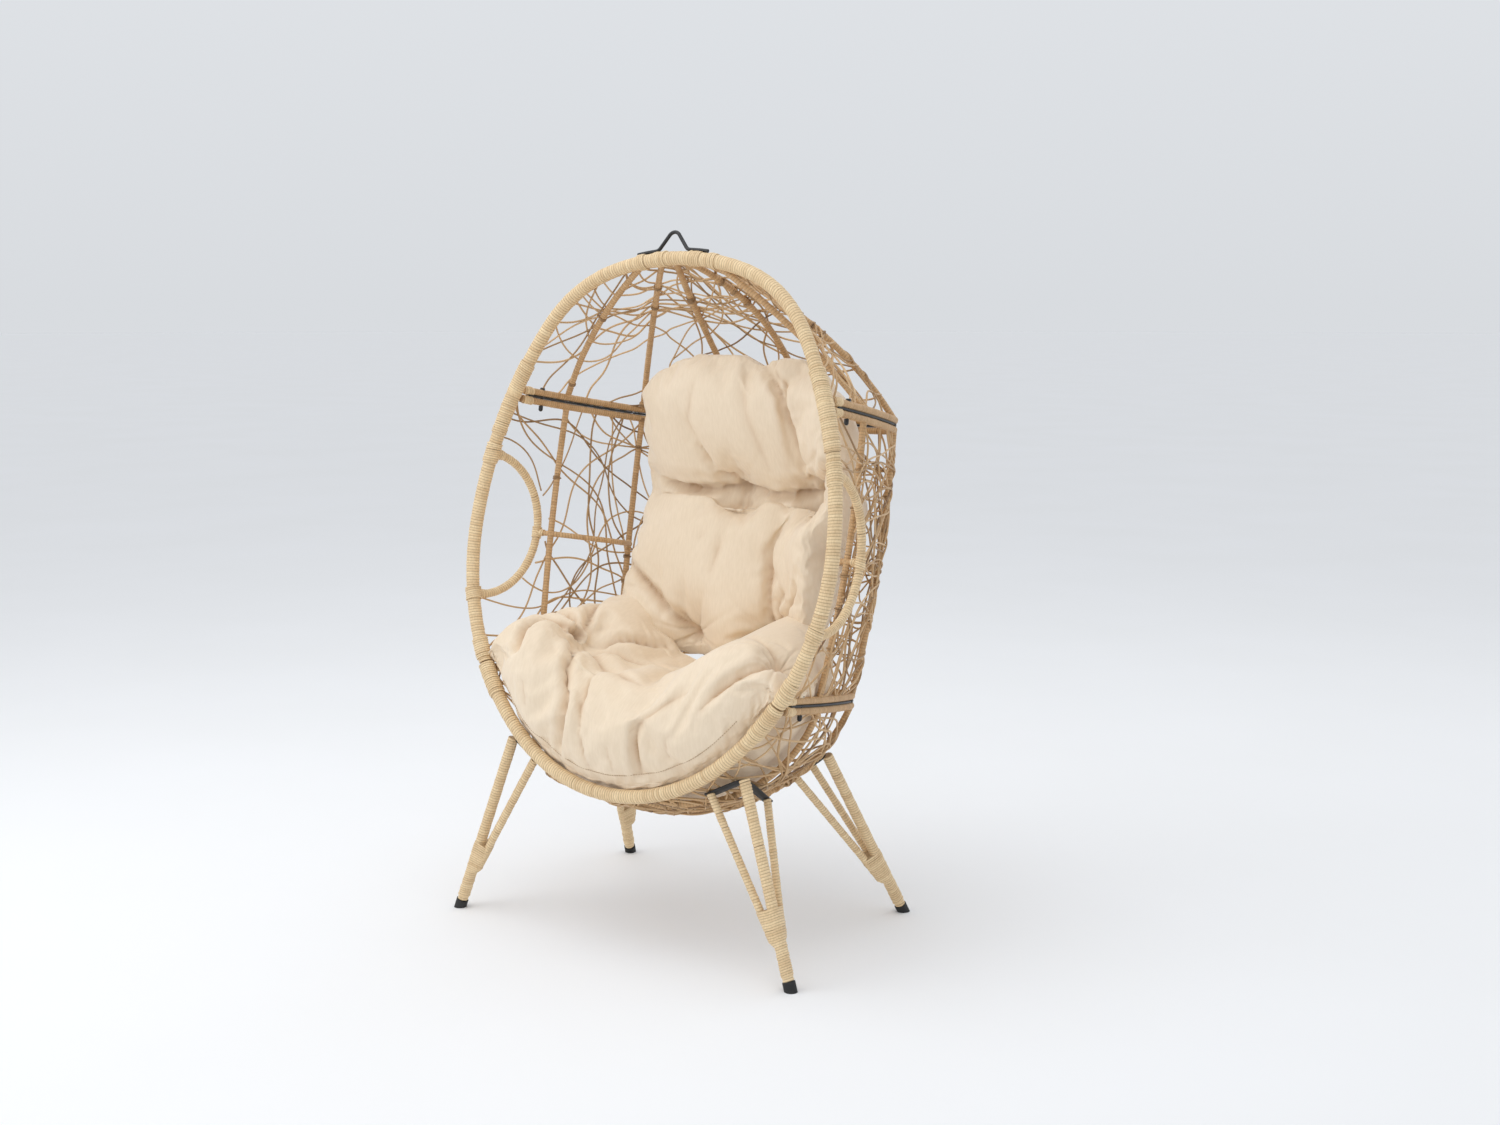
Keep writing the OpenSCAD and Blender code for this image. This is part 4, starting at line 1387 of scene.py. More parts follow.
@dataclass
class Weave:
    """Open random weave of one section, with the turns that tie it to the ribs."""

    grid: SkinGrid
    palette: Palette
    seed: int
    strands: int
    arm_window: tuple[float, float] | None = None
    window_bays: float = 1.0
    edge_s: float = 3.45
    layer_t: float = 0.0016
    sink: float = 0.005
    step: float = 0.009
    strand_r: float = 0.0021
    sides: int = 6
    bend: float = 1 / 0.13
    longest: float = 2.6
    evening: int = 4
    loop_share: float = 0.25
    loop_bend: float = 1.7
    knot_share: float = 0.12

    def inside(self, s: float, t: float) -> bool:
        """Whether a place lies on the woven surface.

        Args:
            s: Place across.
            t: Place down.

        Returns:
            True if it does.
        """
        if not (abs(s) < self.edge_s and 0 < t < 1):
            return False
        if self.arm_window is None:
            return True
        low, high = self.arm_window
        middle, half = (low + high) / 2, (high - low) / 2
        return ((t - middle) / half) ** 2 + ((self.grid.reach - abs(s)) / self.window_bays) ** 2 > 1

    def walk(self, rng: np.random.Generator, s: float, t: float,
             heading: float) -> tuple[list[float], list[float]]:
        """Lets a strand wander from a place until it leaves the surface.

        Args:
            rng: Source of the wandering.
            s: Place across.
            t: Place down.
            heading: First direction, in radians.

        Returns:
            The places across and down.
        """
        waves = rng.uniform(0.16, 0.75, 3)
        phases = rng.uniform(0, TAU, 3)
        loopy = self.loop_bend if rng.random() < self.loop_share else 1.0
        sizes = loopy * self.bend * np.array([0.55, 0.45, 0.35]) * rng.uniform(0.6, 1.2, 3)
        path_s, path_t = [s], [t]
        travelled = 0.0
        while self.inside(s, t) and travelled < self.longest:
            curl = float((sizes * np.sin(TAU * travelled / waves + phases)).sum())
            heading += curl * self.step
            one = np.array([s]), np.array([t])
            s += math.cos(heading) * self.step / max(float(self.grid.look(self.grid.across_m, *one)[0]), 0.02)
            t += math.sin(heading) * self.step / float(self.grid.look(self.grid.down_m, *one)[0])
            path_s.append(s)
            path_t.append(t)
            travelled += self.step
        return path_s, path_t

    def make_strand(self, rng: np.random.Generator) -> Strand | None:
        """One strand from edge to edge through a random place.

        Args:
            rng: Source of the wandering.

        Returns:
            The strand, or None if it came out too short.
        """
        for _ in range(200):
            s, t = rng.uniform(-3.4, 3.4), rng.uniform(0, 1)
            width = float(self.grid.look(self.grid.across_m, np.array([s]), np.array([t]))[0])
            if self.inside(s, t) and rng.random() < width / self.grid.across_m.max():
                break
        heading = rng.uniform(0, TAU)
        ahead, behind = self.walk(rng, s, t, heading), self.walk(rng, s, t, heading + math.pi)
        path_s = np.array(behind[0][:0:-1] + ahead[0])
        path_t = np.array(behind[1][:0:-1] + ahead[1])
        if len(path_s) < 12:
            return None
        layer = rng.uniform(-0.6, 1.6)
        wave = np.sin(np.arange(len(path_s)) * self.step * TAU / 0.16 + rng.uniform(0, TAU))
        lift = self.grid.basket.rib_r + self.strand_r + self.layer_t * (layer + 0.8 * wave)
        near = (np.abs(path_s) + 0.5) % 1
        off_rib = np.minimum(near, 1 - near)
        lift = lift - self.sink * smooth((off_rib - 0.08) / 0.25)
        edge = np.minimum(np.minimum(path_t, 1 - path_t) * 12, (self.grid.reach - np.abs(path_s)) * 5)
        return Strand(path_s, path_t, lift * smooth(edge))

    def tube(self, shell: Shell, path: Array, radius: float, shade: float, dark: float = 0.0) -> None:
        """Adds a strand along a path in the chair's frame."""
        add_strand(shell, path, np.array([0.1, 0.3, 1.0]), radius, self.sides, shade, dark)

    def knots(self, shell: Shell, rng: np.random.Generator, strand: Strand) -> None:
        """Turns of strand round the ribs where a strand crosses them.

        Args:
            shell: Mesh that takes them.
            rng: Source of the choice.
            strand: The strand.
        """
        for k in np.nonzero(np.diff(np.floor(strand.s + 0.5)))[0]:
            rib = np.floor(max(strand.s[k], strand.s[k + 1]) + 0.5) - 0.5
            if abs(rib) >= self.grid.reach - 0.6 or rng.random() > self.knot_share:
                continue
            t = float(strand.t[k])
            span = self.grid.look(self.grid.points, np.array([rib, rib]), np.array([t, min(t + 0.02, 1)]))
            centre = self.grid.basket.to_chair(span)
            axis = unit(centre[1] - centre[0])
            turns = rng.uniform(1.0, 1.5)
            angle = np.linspace(0, turns * TAU, round(14 * turns))
            side = unit(np.cross(axis, [0.3, 1.0, 0.1]))
            up = np.cross(axis, side)
            reach = self.grid.basket.rib_r + self.strand_r * 0.45
            rise = (np.linspace(-0.5, 0.5, len(angle)) * 2 * self.strand_r * turns)[:, None] * axis
            path = centre[0] + rise + reach * (np.cos(angle)[:, None] * side + np.sin(angle)[:, None] * up)
            self.tube(shell, path, self.strand_r, rng.uniform(0.1, 0.6), 0.5)

    def build(self, node: str) -> None:
        """Makes the strands and ties of this section in place of the frame node.

        Args:
            node: Name of the node.
        """
        rng = np.random.default_rng(self.seed)
        strands, ties = Shell(), Shell()
        made = 0
        while made < self.strands:
            strand = self.make_strand(rng)
            if strand is None:
                continue
            base = self.grid.look(self.grid.points, strand.s, strand.t)
            normal = self.grid.look(self.grid.normals, strand.s, strand.t)
            path = self.grid.basket.to_chair(base + normal * strand.lift[:, None])
            radius = self.strand_r * rng.uniform(0.9, 1.12)
            shade = float(np.clip(rng.normal(0.55, 0.22), 0, 1))
            self.tube(strands, evened(path, self.evening), radius, shade)
            self.knots(ties, rng, strand)
            made += 1
        finish_piece(strands.build(f"{node}_strands"), self.palette.strand, FRAME_BODY, "woven_strand", node)
        finish_piece(ties.build(f"{node}_ties"), self.palette.strand, FRAME_BODY, "woven_strand")


# ---------------------------------------------------------------------------------------------
# Cushion
# ---------------------------------------------------------------------------------------------


@dataclass(frozen=True)
class Fold:
    """A fold in the cloth, that leaves its start at a bearing and bends evenly over its length.

    A bearing of 0 degrees is to the pad's right and 90 is up it. A start is a pair of shares of the pad:
    across it from -1 to 1, and up it from 0 to 1.
    """

    bearing: float
    length: float
    depth: float
    width: float = 0.010
    bend: float = 0.0
    start: tuple[float, float] = (0.0, 0.5)

    def places(self, start: tuple[float, float], flat: tuple[float, float],
               count: int = 24) -> tuple[Array, Array]:
        """Places along the fold.

        Args:
            start: Where it starts, as shares of the pad.
            flat: Half width and height of the pad's cloth.
            count: Number of places.

        Returns:
            The shares across and up.
        """
        turn = np.radians(self.bearing + self.bend * np.linspace(0, 1, count))
        step = self.length / (count - 1)
        p = start[0] + (np.cumsum(np.cos(turn)) - math.cos(turn[0])) * step / flat[0]
        q = start[1] + (np.cumsum(np.sin(turn)) - math.sin(turn[0])) * step / flat[1]
        return np.clip(p, -0.98, 0.98), np.clip(q, 0.02, 0.98)


@dataclass(frozen=True)
class Tuft:
    """A stitch through the pad that draws its face in, with the folds that run out from it."""

    at: tuple[float, float]
    depth: float
    width: float
    rays: int
    phase: float
    folds: tuple[Fold, ...]


def bunched(count: int, share: float) -> Array:
    """Places from -1 to 1, closer together towards both ends."""
    return np.sin(np.linspace(-1, 1, count) * math.pi / 2 * share) / math.sin(math.pi / 2 * share)


def nearest(points: Array, line: Array) -> Array:
    """Distance of each point from the nearest of a line's points."""
    return np.linalg.norm(points[:, None, :] - line[None, :, :], axis=2).min(axis=1)


@dataclass
class Pad:
    """A stuffed pad: a face and a back sewn together round the edge, drawn in at tufts and folds."""

    name: str
    basket: Basket
    palette: Palette
    tufts: tuple[Tuft, ...]
    folds: tuple[Fold, ...]
    face_of: Callable[[Array, Array], Array]
    sides_of: Callable[[Array, Array], tuple[Array, Array]]
    flat: tuple[float, float]
    columns: int
    rows: int
    pressure: float = 3.0
    growth: float = 0.07
    cap: float = 0.022
    evening: int = 24
    end_fade: float = 0.05
    end_share: float = 0.4
    lip: float = 0.22
    deep: float = 0.012
    ray_depth: float = 0.0075
    ray_reach: float = 0.065
    ray_width: float = 0.28
    stitch_depth: float = 0.012
    stitch_reach: float = 0.012

    def grid(self) -> tuple[Array, Array]:
        """Face and back points, (columns, rows, 3) each, in the basket's frame."""
        p = bunched(self.columns, 0.985)
        q = (1 + bunched(self.rows, 0.97)) / 2
        return self.sides_of(*np.meshgrid(p, q, indexing="ij"))

    def spot(self, tuft: Tuft) -> Array:
        """Point of a tuft, as an array of one."""
        return self.face_of(np.array([tuft.at[0]]), np.array([tuft.at[1]]))

    def lines(self) -> list[tuple[Fold, Array]]:
        """Every fold with its points."""
        starts = [(fold, tuft.at) for tuft in self.tufts for fold in tuft.folds]
        starts += [(fold, fold.start) for fold in self.folds]
        return [(fold, self.face_of(*fold.places(start, self.flat))) for fold, start in starts]

    def shell(self) -> tuple[Array, list[list[int]], Array]:
        """Closed mesh of the pad.

        Returns:
            Points, faces, and the number of each face-side point laid out on its grid.
        """
        face, back = self.grid()
        n, m = self.columns, self.rows
        front = np.arange(n * m).reshape(n, m)
        rear = front.copy()
        rear[1:-1, 1:-1] = n * m + np.arange((n - 2) * (m - 2)).reshape(n - 2, m - 2)
        points = np.concatenate([face.reshape(-1, 3), back[1:-1, 1:-1].reshape(-1, 3)])
        faces = []
        for i in range(n - 1):
            for j in range(m - 1):
                a, b, c, d = front[i, j], front[i + 1, j], front[i + 1, j + 1], front[i, j + 1]
                faces.append([a, b, c, d])
                a, b, c, d = rear[i, j], rear[i + 1, j], rear[i + 1, j + 1], rear[i, j + 1]
                faces.append([a, d, c, b])
        return points, faces, front

    def snapped(self, points: Array, face: Array, samples: int) -> Array:
        """A line of points, drawn closely and laid on the pad's face.

        Args:
            points: The points.
            face: Points of the pad's face.
            samples: Number of points drawn.

        Returns:
            The laid line.
        """
        line = points
        if len(points) > 1:
            line = at_distance(points, np.linspace(0, distances(points)[-1], samples))
        gap = np.linalg.norm(line[:, None, :] - face[None, :, :], axis=2)
        return evened(face[gap.argmin(axis=1)], self.evening)

    def dimple(self, points: Array, face_count: int, normals: Array) -> Array:
        """Draws the broad hollows of the tufts into both sides, before the cloth is blown up."""
        moved = points.copy()
        for tuft in self.tufts:
            spot = self.snapped(self.spot(tuft), points[:face_count], 1)[0]
            gap = np.linalg.norm(points[:face_count] - spot, axis=1)
            drawn = tuft.depth * np.exp(-(gap / tuft.width) ** 2)
            moved[:face_count] -= drawn[:, None] * normals[:face_count]
        return moved

    def detail(self, points: Array, normals: Array, on_face: Array) -> tuple[Array, Array]:
        """Sharp folds and gathered rays, after the cloth is blown up, with their painted shade.

        Args:
            points: The pad's points.
            normals: Their normals.
            on_face: 1 on the face, 0 on the back.

        Returns:
            The moved points, and how much painted shade each takes from folds and tufts, from 0 to 1.
        """
        face = points[on_face > 0.5]
        depth = np.zeros(len(points))
        # dark holds the painted shade of folds and tufts.
        dark = np.zeros(len(points))
        for fold, path in self.lines():
            line = self.snapped(path, face, 60)
            gap = nearest(points, line)
            from_ends = smooth(nearest(points, line[[0, -1]]) / self.end_fade)
            taper = from_ends * (1 - self.end_share) + self.end_share
            depth += fold.depth * taper * np.exp(-gap / fold.width)
            depth -= fold.depth * self.lip * np.exp(-((gap - 2.4 * fold.width) / (1.3 * fold.width)) ** 2)
            # Painted shade along the core of the fold.
            shadow = taper * np.exp(-gap / (0.4 * fold.width)) * min(fold.depth / self.deep, 1)
            dark = np.maximum(dark, shadow)
        for tuft in self.tufts:
            spot = self.snapped(self.spot(tuft), face, 1)[0]
            away = points - spot
            gap = np.linalg.norm(away, axis=1)
            normal = unit(normals[np.argmin(gap + 10 * (on_face < 0.5))])
            side = unit(np.cross(normal, [0.0, 0.0, 1.0]))
            angle = np.arctan2(away @ np.cross(normal, side), away @ side)
            wander = 0.5 * np.sin(3 * angle + tuft.phase)
            rays = np.exp(-(np.sin(tuft.rays * angle / 2 + tuft.phase + wander) / self.ray_width) ** 2)
            depth += self.ray_depth * rays * np.exp(-gap / self.ray_reach) * smooth(gap / 0.02)
            depth += self.stitch_depth * np.exp(-gap / self.stitch_reach)
            # Painted shade at the stitch and along the gathered rays.
            dark = np.maximum(dark, 0.8 * np.exp(-gap / 0.009))
            dark = np.maximum(dark, 0.35 * rays * np.exp(-gap / 0.045))
        return points - (depth * on_face)[:, None] * normals, np.clip(dark, 0, 1) * on_face

    def blow_up(self, piece: bpy.types.Object, pinned: Array) -> None:
        """Fills the pad by cloth simulation, held at its tufts and edge, and caps how far it swells.

        Args:
            piece: The pad's object.
            pinned: How firmly each point is held, from 0 to 1.
        """
        group = piece.vertex_groups.new(name="held")
        for index in np.nonzero(pinned > 0.01)[0]:
            group.add([int(index)], float(pinned[index]), "REPLACE")
        rest = np.array([v.co for v in piece.data.vertices])
        cloth = piece.modifiers.new("cloth", "CLOTH")
        settings = cloth.settings
        settings.quality = 5
        settings.mass = 0.25
        settings.tension_stiffness = 12
        settings.compression_stiffness = 6
        settings.shear_stiffness = 4
        settings.bending_stiffness = 0.25
        settings.use_pressure = True
        settings.uniform_pressure_force = self.pressure
        settings.shrink_min = -self.growth
        settings.vertex_group_mass = "held"
        settings.effector_weights.gravity = 0
        cloth.collision_settings.use_collision = False
        scene = bpy.context.scene
        for number in range(1, 21):
            scene.frame_set(number)
        evaluated = piece.evaluated_get(bpy.context.evaluated_depsgraph_get())
        moved = np.array([v.co for v in evaluated.data.vertices]) - rest
        piece.modifiers.remove(cloth)
        scene.frame_set(1)
        far = np.linalg.norm(moved, axis=1, keepdims=True)
        capped = moved * np.minimum(1, self.cap * np.tanh(far / self.cap) / np.maximum(far, 1e-9))
        piece.data.vertices.foreach_set("co", (rest + capped).ravel())
        piece.data.update()
        piece.vertex_groups.clear()

    def build(self, *nodes: str) -> bpy.types.Object:
        """Makes the pad in place of frame nodes.

        Args:
            nodes: Names of the nodes.

        Returns:
            The pad.
        """
        points, faces, front = self.shell()
        count = self.columns * self.rows
        shell = Shell()
        on_face = np.zeros(len(points))
        on_face[front[1:-1, 1:-1].ravel()] = 1
        # The fold attribute will hold the painted shade of folds and tufts.
        shell.add(points, faces, fold=np.zeros(len(points)))
        piece = shell.build(self.name)
        normals = np.array([v.normal for v in piece.data.vertices])
        dimpled = self.dimple(points, count, normals)
        piece.data.vertices.foreach_set("co", dimpled.ravel())
        piece.data.update()
        pinned = np.zeros(len(points))
        for tuft in self.tufts:
            spot = self.snapped(self.spot(tuft), dimpled[:count], 1)[0]
            gap = np.linalg.norm(dimpled - spot, axis=1)
            pinned = np.maximum(pinned, (gap < 0.013) * on_face)
        for fold, path in self.lines():
            if fold.depth >= self.deep:
                gap = nearest(dimpled, self.snapped(path, dimpled[:count], 40))
                pinned = np.maximum(pinned, 0.5 * (gap < 0.010) * on_face)
        rim = np.concatenate([front[0], front[-1], front[:, 0], front[:, -1]])
        pinned[rim] = np.maximum(pinned[rim], 0.7)
        self.blow_up(piece, pinned)
        self.refine(piece, on_face)
        piece.data.transform(self.basket_matrix())
        finish_piece(piece, self.palette.cloth, CUSHION_BODY, "cushion_fabric", *nodes)
        return piece

    def refine(self, piece: bpy.types.Object, on_face: Array) -> None:
        """Subdivides the pad once, then draws in its sharp folds and stores their painted shade.

        Args:
            piece: The pad.
            on_face: 1 on the face, 0 on the back.
        """
        mark = piece.data.attributes.new("on_face", "FLOAT", "POINT")
        mark.data.foreach_set("value", on_face.astype(np.float32))
        levels = piece.modifiers.new("finer", "SUBSURF")
        levels.levels = 1
        levels.render_levels = 1
        evaluated = piece.evaluated_get(bpy.context.evaluated_depsgraph_get())
        finer = bpy.data.meshes.new_from_object(evaluated)
        piece.modifiers.clear()
        piece.data = finer
        finer.name = self.name
        total = len(finer.vertices)
        points = np.empty(total * 3)
        finer.vertices.foreach_get("co", points)
        points = points.reshape(-1, 3)
        normals = np.array([v.normal for v in finer.vertices])
        face_side = np.empty(total, np.float32)
        finer.attributes["on_face"].data.foreach_get("value", face_side)
        moved, dark = self.detail(points, normals, face_side.astype(float))
        finer.vertices.foreach_set("co", moved.ravel())
        # Painted shade of folds and tufts goes into the fold attribute.
        finer.attributes["fold"].data.foreach_set("value", dark.astype(np.float32))
        finer.attributes.remove(finer.attributes["on_face"])
        finer.update()

    def basket_matrix(self) -> Matrix:
        """Transform from the basket's frame to the chair's."""
        tilt = Matrix.Rotation(-self.basket.lean, 4, "X")
        return Matrix.Translation((0, self.basket.plane_foot_y, 0)) @ tilt


def edge_profile(x: Array, power: float, root: float) -> Array:
    """Fullness of a pad across its width: 1 in the middle, 0 at both edges."""
    return np.maximum(1 - np.abs(x) ** power, 0) ** root


BACK_TUFTS = (
    Tuft((-0.20, 0.60), 0.040, 0.050, 9, 0.4, (
        Fold(178, 0.20, 0.026, 0.009), Fold(0, 0.22, 0.026, 0.009), Fold(125, 0.12, 0.013, 0.008),
        Fold(-80, 0.20, 0.006, 0.014, -10), Fold(-105, 0.14, 0.005, 0.012))),
    Tuft((0.50, 0.60), 0.040, 0.050, 8, 2.1, (
        Fold(95, 0.26, 0.018, 0.009, 10), Fold(20, 0.18, 0.022, 0.009, -10), Fold(-5, 0.09, 0.014, 0.009),
        Fold(-100, 0.13, 0.007, 0.012), Fold(-115, 0.20, 0.006, 0.012, 20))),
    Tuft((-0.25, 0.08), 0.045, 0.055, 8, 1.0, (
        Fold(150, 0.28, 0.018, 0.010), Fold(140, 0.15, 0.008, 0.008))),
    Tuft((0.50, 0.10), 0.040, 0.055, 9, 3.0, (
        Fold(90, 0.10, 0.015, 0.008), Fold(45, 0.16, 0.016, 0.008), Fold(130, 0.20, 0.012, 0.009, -35),
        Fold(180, 0.10, 0.013, 0.008))),
)
BACK_FOLDS = (
    Fold(80, 0.06, 0.009, 0.008, start=(0.45, 0.86)), Fold(-75, 0.14, 0.004, 0.016, start=(0.05, 0.92)),
    Fold(-95, 0.08, 0.004, 0.014, start=(-0.40, 0.90)), Fold(-90, 0.12, 0.004, 0.011, start=(0.10, 0.55)),
)
SEAT_TUFTS = (
    Tuft((-0.33, 0.60), 0.046, 0.050, 9, 0.7, (
        Fold(-140, 0.20, 0.021, 0.009, 30), Fold(165, 0.17, 0.021, 0.008), Fold(125, 0.20, 0.015, 0.008),
        Fold(75, 0.20, 0.019, 0.008), Fold(45, 0.22, 0.015, 0.009), Fold(-70, 0.30, 0.025, 0.009, -40),
        Fold(-150, 0.22, 0.010, 0.009), Fold(-125, 0.20, 0.010, 0.009), Fold(-35, 0.18, 0.009, 0.010))),
    Tuft((0.72, 0.50), 0.026, 0.040, 8, 1.9, (
        Fold(-105, 0.17, 0.014, 0.009), Fold(165, 0.11, 0.008, 0.010))),
)
SEAT_FOLDS = (
    Fold(-95, 0.12, 0.012, 0.007, start=(-0.15, 0.40)), Fold(-90, 0.10, 0.014, 0.008, start=(0.20, 0.22)),
    Fold(-140, 0.09, 0.007, 0.010, start=(0.35, 0.30)), Fold(110, 0.06, 0.009, 0.008, start=(-0.12, 0.06)),
    Fold(100, 0.04, 0.006, 0.008, start=(0.05, 0.06)), Fold(80, 0.04, 0.006, 0.008, start=(0.40, 0.08)),
    Fold(100, 0.04, 0.006, 0.008, start=(-0.60, 0.12)),
)


@dataclass
class Cushion:
    """The loose tufted cushion: back pad and seat pad."""

    basket: Basket
    palette: Palette
    back_thick: float = 0.128
    stitch_in: float = 0.016
    stitch_front: float = -0.02
    stitch_pitch: float = 0.006
    thread_r: float = 0.0009
    under_in: float = 0.95
    under_back: float = 0.035
    under_clear: float = 0.032
    under_least: float = 0.03
    foot_below: float = 0.08
    crown_above: float = 0.025
    left_foot: float = 0.045
    left_head: float = 0.035
    wrap_x: tuple[float, float] = (0.145, 0.19)
    wrap_r: float = 0.145
    wrap_level: float = 0.92
    right_past: float = 0.14
    shoulder_level: float = 1.15
    left_shoulder: float = 0.15
    right_shoulder: float = 0.12
    back_rows: tuple[tuple[float, float], ...] = (
        (0.65, 0.320), (0.79, 0.335), (1.02, 0.345), (1.12, 0.295), (1.23, 0.220), (1.31, 0.190))
    hem_end: float = 0.585
    hem_inset: float = 0.024
    seat_half: float = 0.398
    seat_narrowing: float = 0.8
    seat_backs: tuple[float, ...] = (0.01, 0.10, 0.20, 0.30)
    seat_shares: tuple[float, ...] = (1.0, 0.88, 0.62, 0.22)
    roll_at: float = 0.60
    roll_draw: float = 0.30
    notch: float = 0.020
    notch_x: float = 0.12
    crown_bow: float = 0.012
    curl_from: float = 0.125

    def back_levels(self) -> tuple[float, float]:
        """Foot and crown of the back pad: a little past its solid in the frame."""
        low, high = self.basket.space("back_cushion")
        return low[2] - self.foot_below, high[2] + self.crown_above

    def back_face(self, p: Array, q: Array) -> Array:
        """Middle surface of the back pad; it bends forwards round the right-hand rear corner.

        Args:
            p: Places across, from -1 to 1.
            q: Places up, from 0 to 1.

        Returns:
            The points, in the basket's frame.
        """
        low, _ = self.basket.space("back_cushion")
        foot, crown = self.back_levels()
        up = foot + q * (crown - foot)
        rounding = np.clip((up - self.shoulder_level) / (crown - self.shoulder_level), 0, 1)
        slope = (self.left_foot + self.left_head) * q
        left = low[0] - self.left_foot + slope + self.left_shoulder * rounding ** 5
        bend_x = self.wrap_x[0] + (self.wrap_x[1] - self.wrap_x[0]) * smooth((up - self.wrap_level) / 0.1)
        right = bend_x + self.right_past + 0.1 * np.sin(math.pi * q) - self.right_shoulder * rounding ** 3
        along = left + (p + 1) / 2 * (right - left)
        turn = np.maximum(along - bend_x, 0) / self.wrap_r
        x = np.minimum(along, bend_x) + self.wrap_r * np.sin(turn)
        levels, backs = np.array(self.back_rows).T
        back = np.interp(up, levels, backs) - self.wrap_r * (1 - np.cos(turn))
        left_curl = np.maximum(-along - self.curl_from, 0) ** 2 * 1.6
        notch = self.notch * np.exp(-((x - self.notch_x) / 0.035) ** 2) * smooth((q - 0.85) / 0.15)
        bow = self.crown_bow * np.cos((x - 0.02) / 0.16) * smooth((q - 0.7) / 0.3)
        return np.stack([x, back - left_curl, up - notch + bow], axis=-1)

    def back_sides(self, p: Array, q: Array) -> tuple[Array, Array]:
        """Face and back of the back pad: a head roll over a lower back.

        Args:
            p: Places across, from -1 to 1.
            q: Places up, from 0 to 1.

        Returns:
            The two sets of points.
        """
        middle = self.back_face(p, q)
        normals = unit(np.cross(np.gradient(middle, axis=0), np.gradient(middle, axis=1)))
        roll = 1 - self.roll_draw * np.exp(-((q - self.roll_at) / 0.05) ** 2)
        full = self.back_thick * edge_profile(p, 3.2, 0.5) * edge_profile(2 * q - 1, 4.0, 0.5) * roll
        half = normals * full[..., None] / 2
        return middle + half, middle - half

    def seat_net(self) -> Array:
        """Control points of the seat's face, eight across from the left by six from the hem to the rear."""
        across = np.linspace(-1, 1, 8)
        span = 180 - self.basket.hoop().heading_at(self.hem_end)
        rim = [self.basket.hoop_point(180 - span * abs(x), self.hem_inset) for x in across]
        side = np.sign(across)
        hem = [(s * h[0], 0.002, h[2]) for s, h in zip(side, rim)]
        bulge = np.sqrt(1 - 0.98 * across ** 4)
        brow = [(s * h[0], -0.044 * b, h[2] + 0.115 * b) for s, h, b in zip(side, rim, bulge)]
        rows = []
        for back in self.seat_backs:
            half = self.seat_half - self.seat_narrowing * back * back
            hollow, crest, edge = 0.585 + 0.24 * back, 0.665 + 0.33 * back, 0.590 + 0.28 * back
            heights = (edge, crest - 0.010, crest, hollow)
            left = [(-half * a, back, up) for a, up in zip(self.seat_shares, heights)]
            right = [(-x, y, up) for x, y, up in reversed(left)]
            rows.append(left + right)
        return np.array([hem, brow, *rows])

    def seat_face(self, p: Array, q: Array) -> Array:
        """Face of the seat pad: the control net, blended smoothly both ways.

        Args:
            p: Places across, from -1 to 1.
            q: Places from the hem to the rear, from 0 to 1.

        Returns:
            The points, in the basket's frame.
        """
        net = self.seat_net()
        bays, spans = net.shape[1] - 1, net.shape[0] - 1
        columns = (p + 1) / 2 * bays
        rows = q * spans
        result = np.zeros(p.shape + (3,))
        i0 = np.clip(columns.astype(int), 0, bays - 1)
        j0 = np.clip(rows.astype(int), 0, spans - 1)
        wi, wj = cubic_weights(columns - i0), cubic_weights(rows - j0)
        for a in range(4):
            for b in range(4):
                corner = extended(net, j0 + b - 1, i0 + a - 1)
                result += (wi[a] * wj[b])[..., None] * corner
        return result

    def seat_sides(self, p: Array, q: Array) -> tuple[Array, Array]:
        """Face of the seat pad, and its underside resting in the bowl.

        Args:
            p: Places across, from -1 to 1.
            q: Places from the hem to the rear, from 0 to 1.

        Returns:
            The two sets of points, which meet at the edge.
        """
        face = self.seat_face(p, q)
        skin = SkinGrid(self.basket, Section.BOWL).points[::3, ::2].reshape(-1, 3)
        below = face * np.array([self.under_in, 1, 1])
        below[..., 1] = np.maximum(below[..., 1], self.under_back)
        gap = ((below[..., None, :2] - skin[None, None, :, :2]) ** 2).sum(axis=-1)
        pull = 1 / (gap + 0.0004) ** 3
        floor = (pull * skin[:, 2]).sum(axis=-1) / pull.sum(axis=-1) + self.under_clear
        below[..., 2] = np.minimum(floor, face[..., 2] - self.under_least)
        fullness = edge_profile(p, 5.0, 0.6) * edge_profile(2 * q - 1, 5.0, 0.6)
        return face, face + (below - face) * fullness[..., None]

    def stitch_hem(self, pad: bpy.types.Object) -> None:
        """Lays a row of stitches along the front hem of the seat pad.

        Args:
            pad: The seat pad.
        """
        surface = np.array([v.co for v in pad.data.vertices])
        normals = np.array([v.normal for v in pad.data.vertices])
        span = 180 - self.basket.hoop().heading_at(self.hem_end) - 8
        line = []
        for heading in np.linspace(-span, span, 160):
            point = self.basket.hoop_point(180 - abs(heading), self.hem_inset + self.stitch_in)
            line.append([math.copysign(point[0], heading), self.stitch_front, point[2]])
        line = self.basket.to_chair(np.array(line))
        near = np.linalg.norm(line[:, None, :] - surface[None, :, :], axis=2).argmin(axis=1)
        path = evened(surface[near] + normals[near] * self.thread_r, 20)
        hint = np.array([0.0, -1.0, 0.1])
        shell = Shell()
        for start in np.arange(0, distances(path)[-1] - self.stitch_pitch, self.stitch_pitch):
            stitch = at_distance(path, np.linspace(start, start + self.stitch_pitch * 0.68, 4))
            add_strand(shell, stitch, hint, self.thread_r, 6, 0.6)
        finish_piece(shell.build("hem_stitches"), self.palette.thread, CUSHION_BODY, "cushion_fabric")

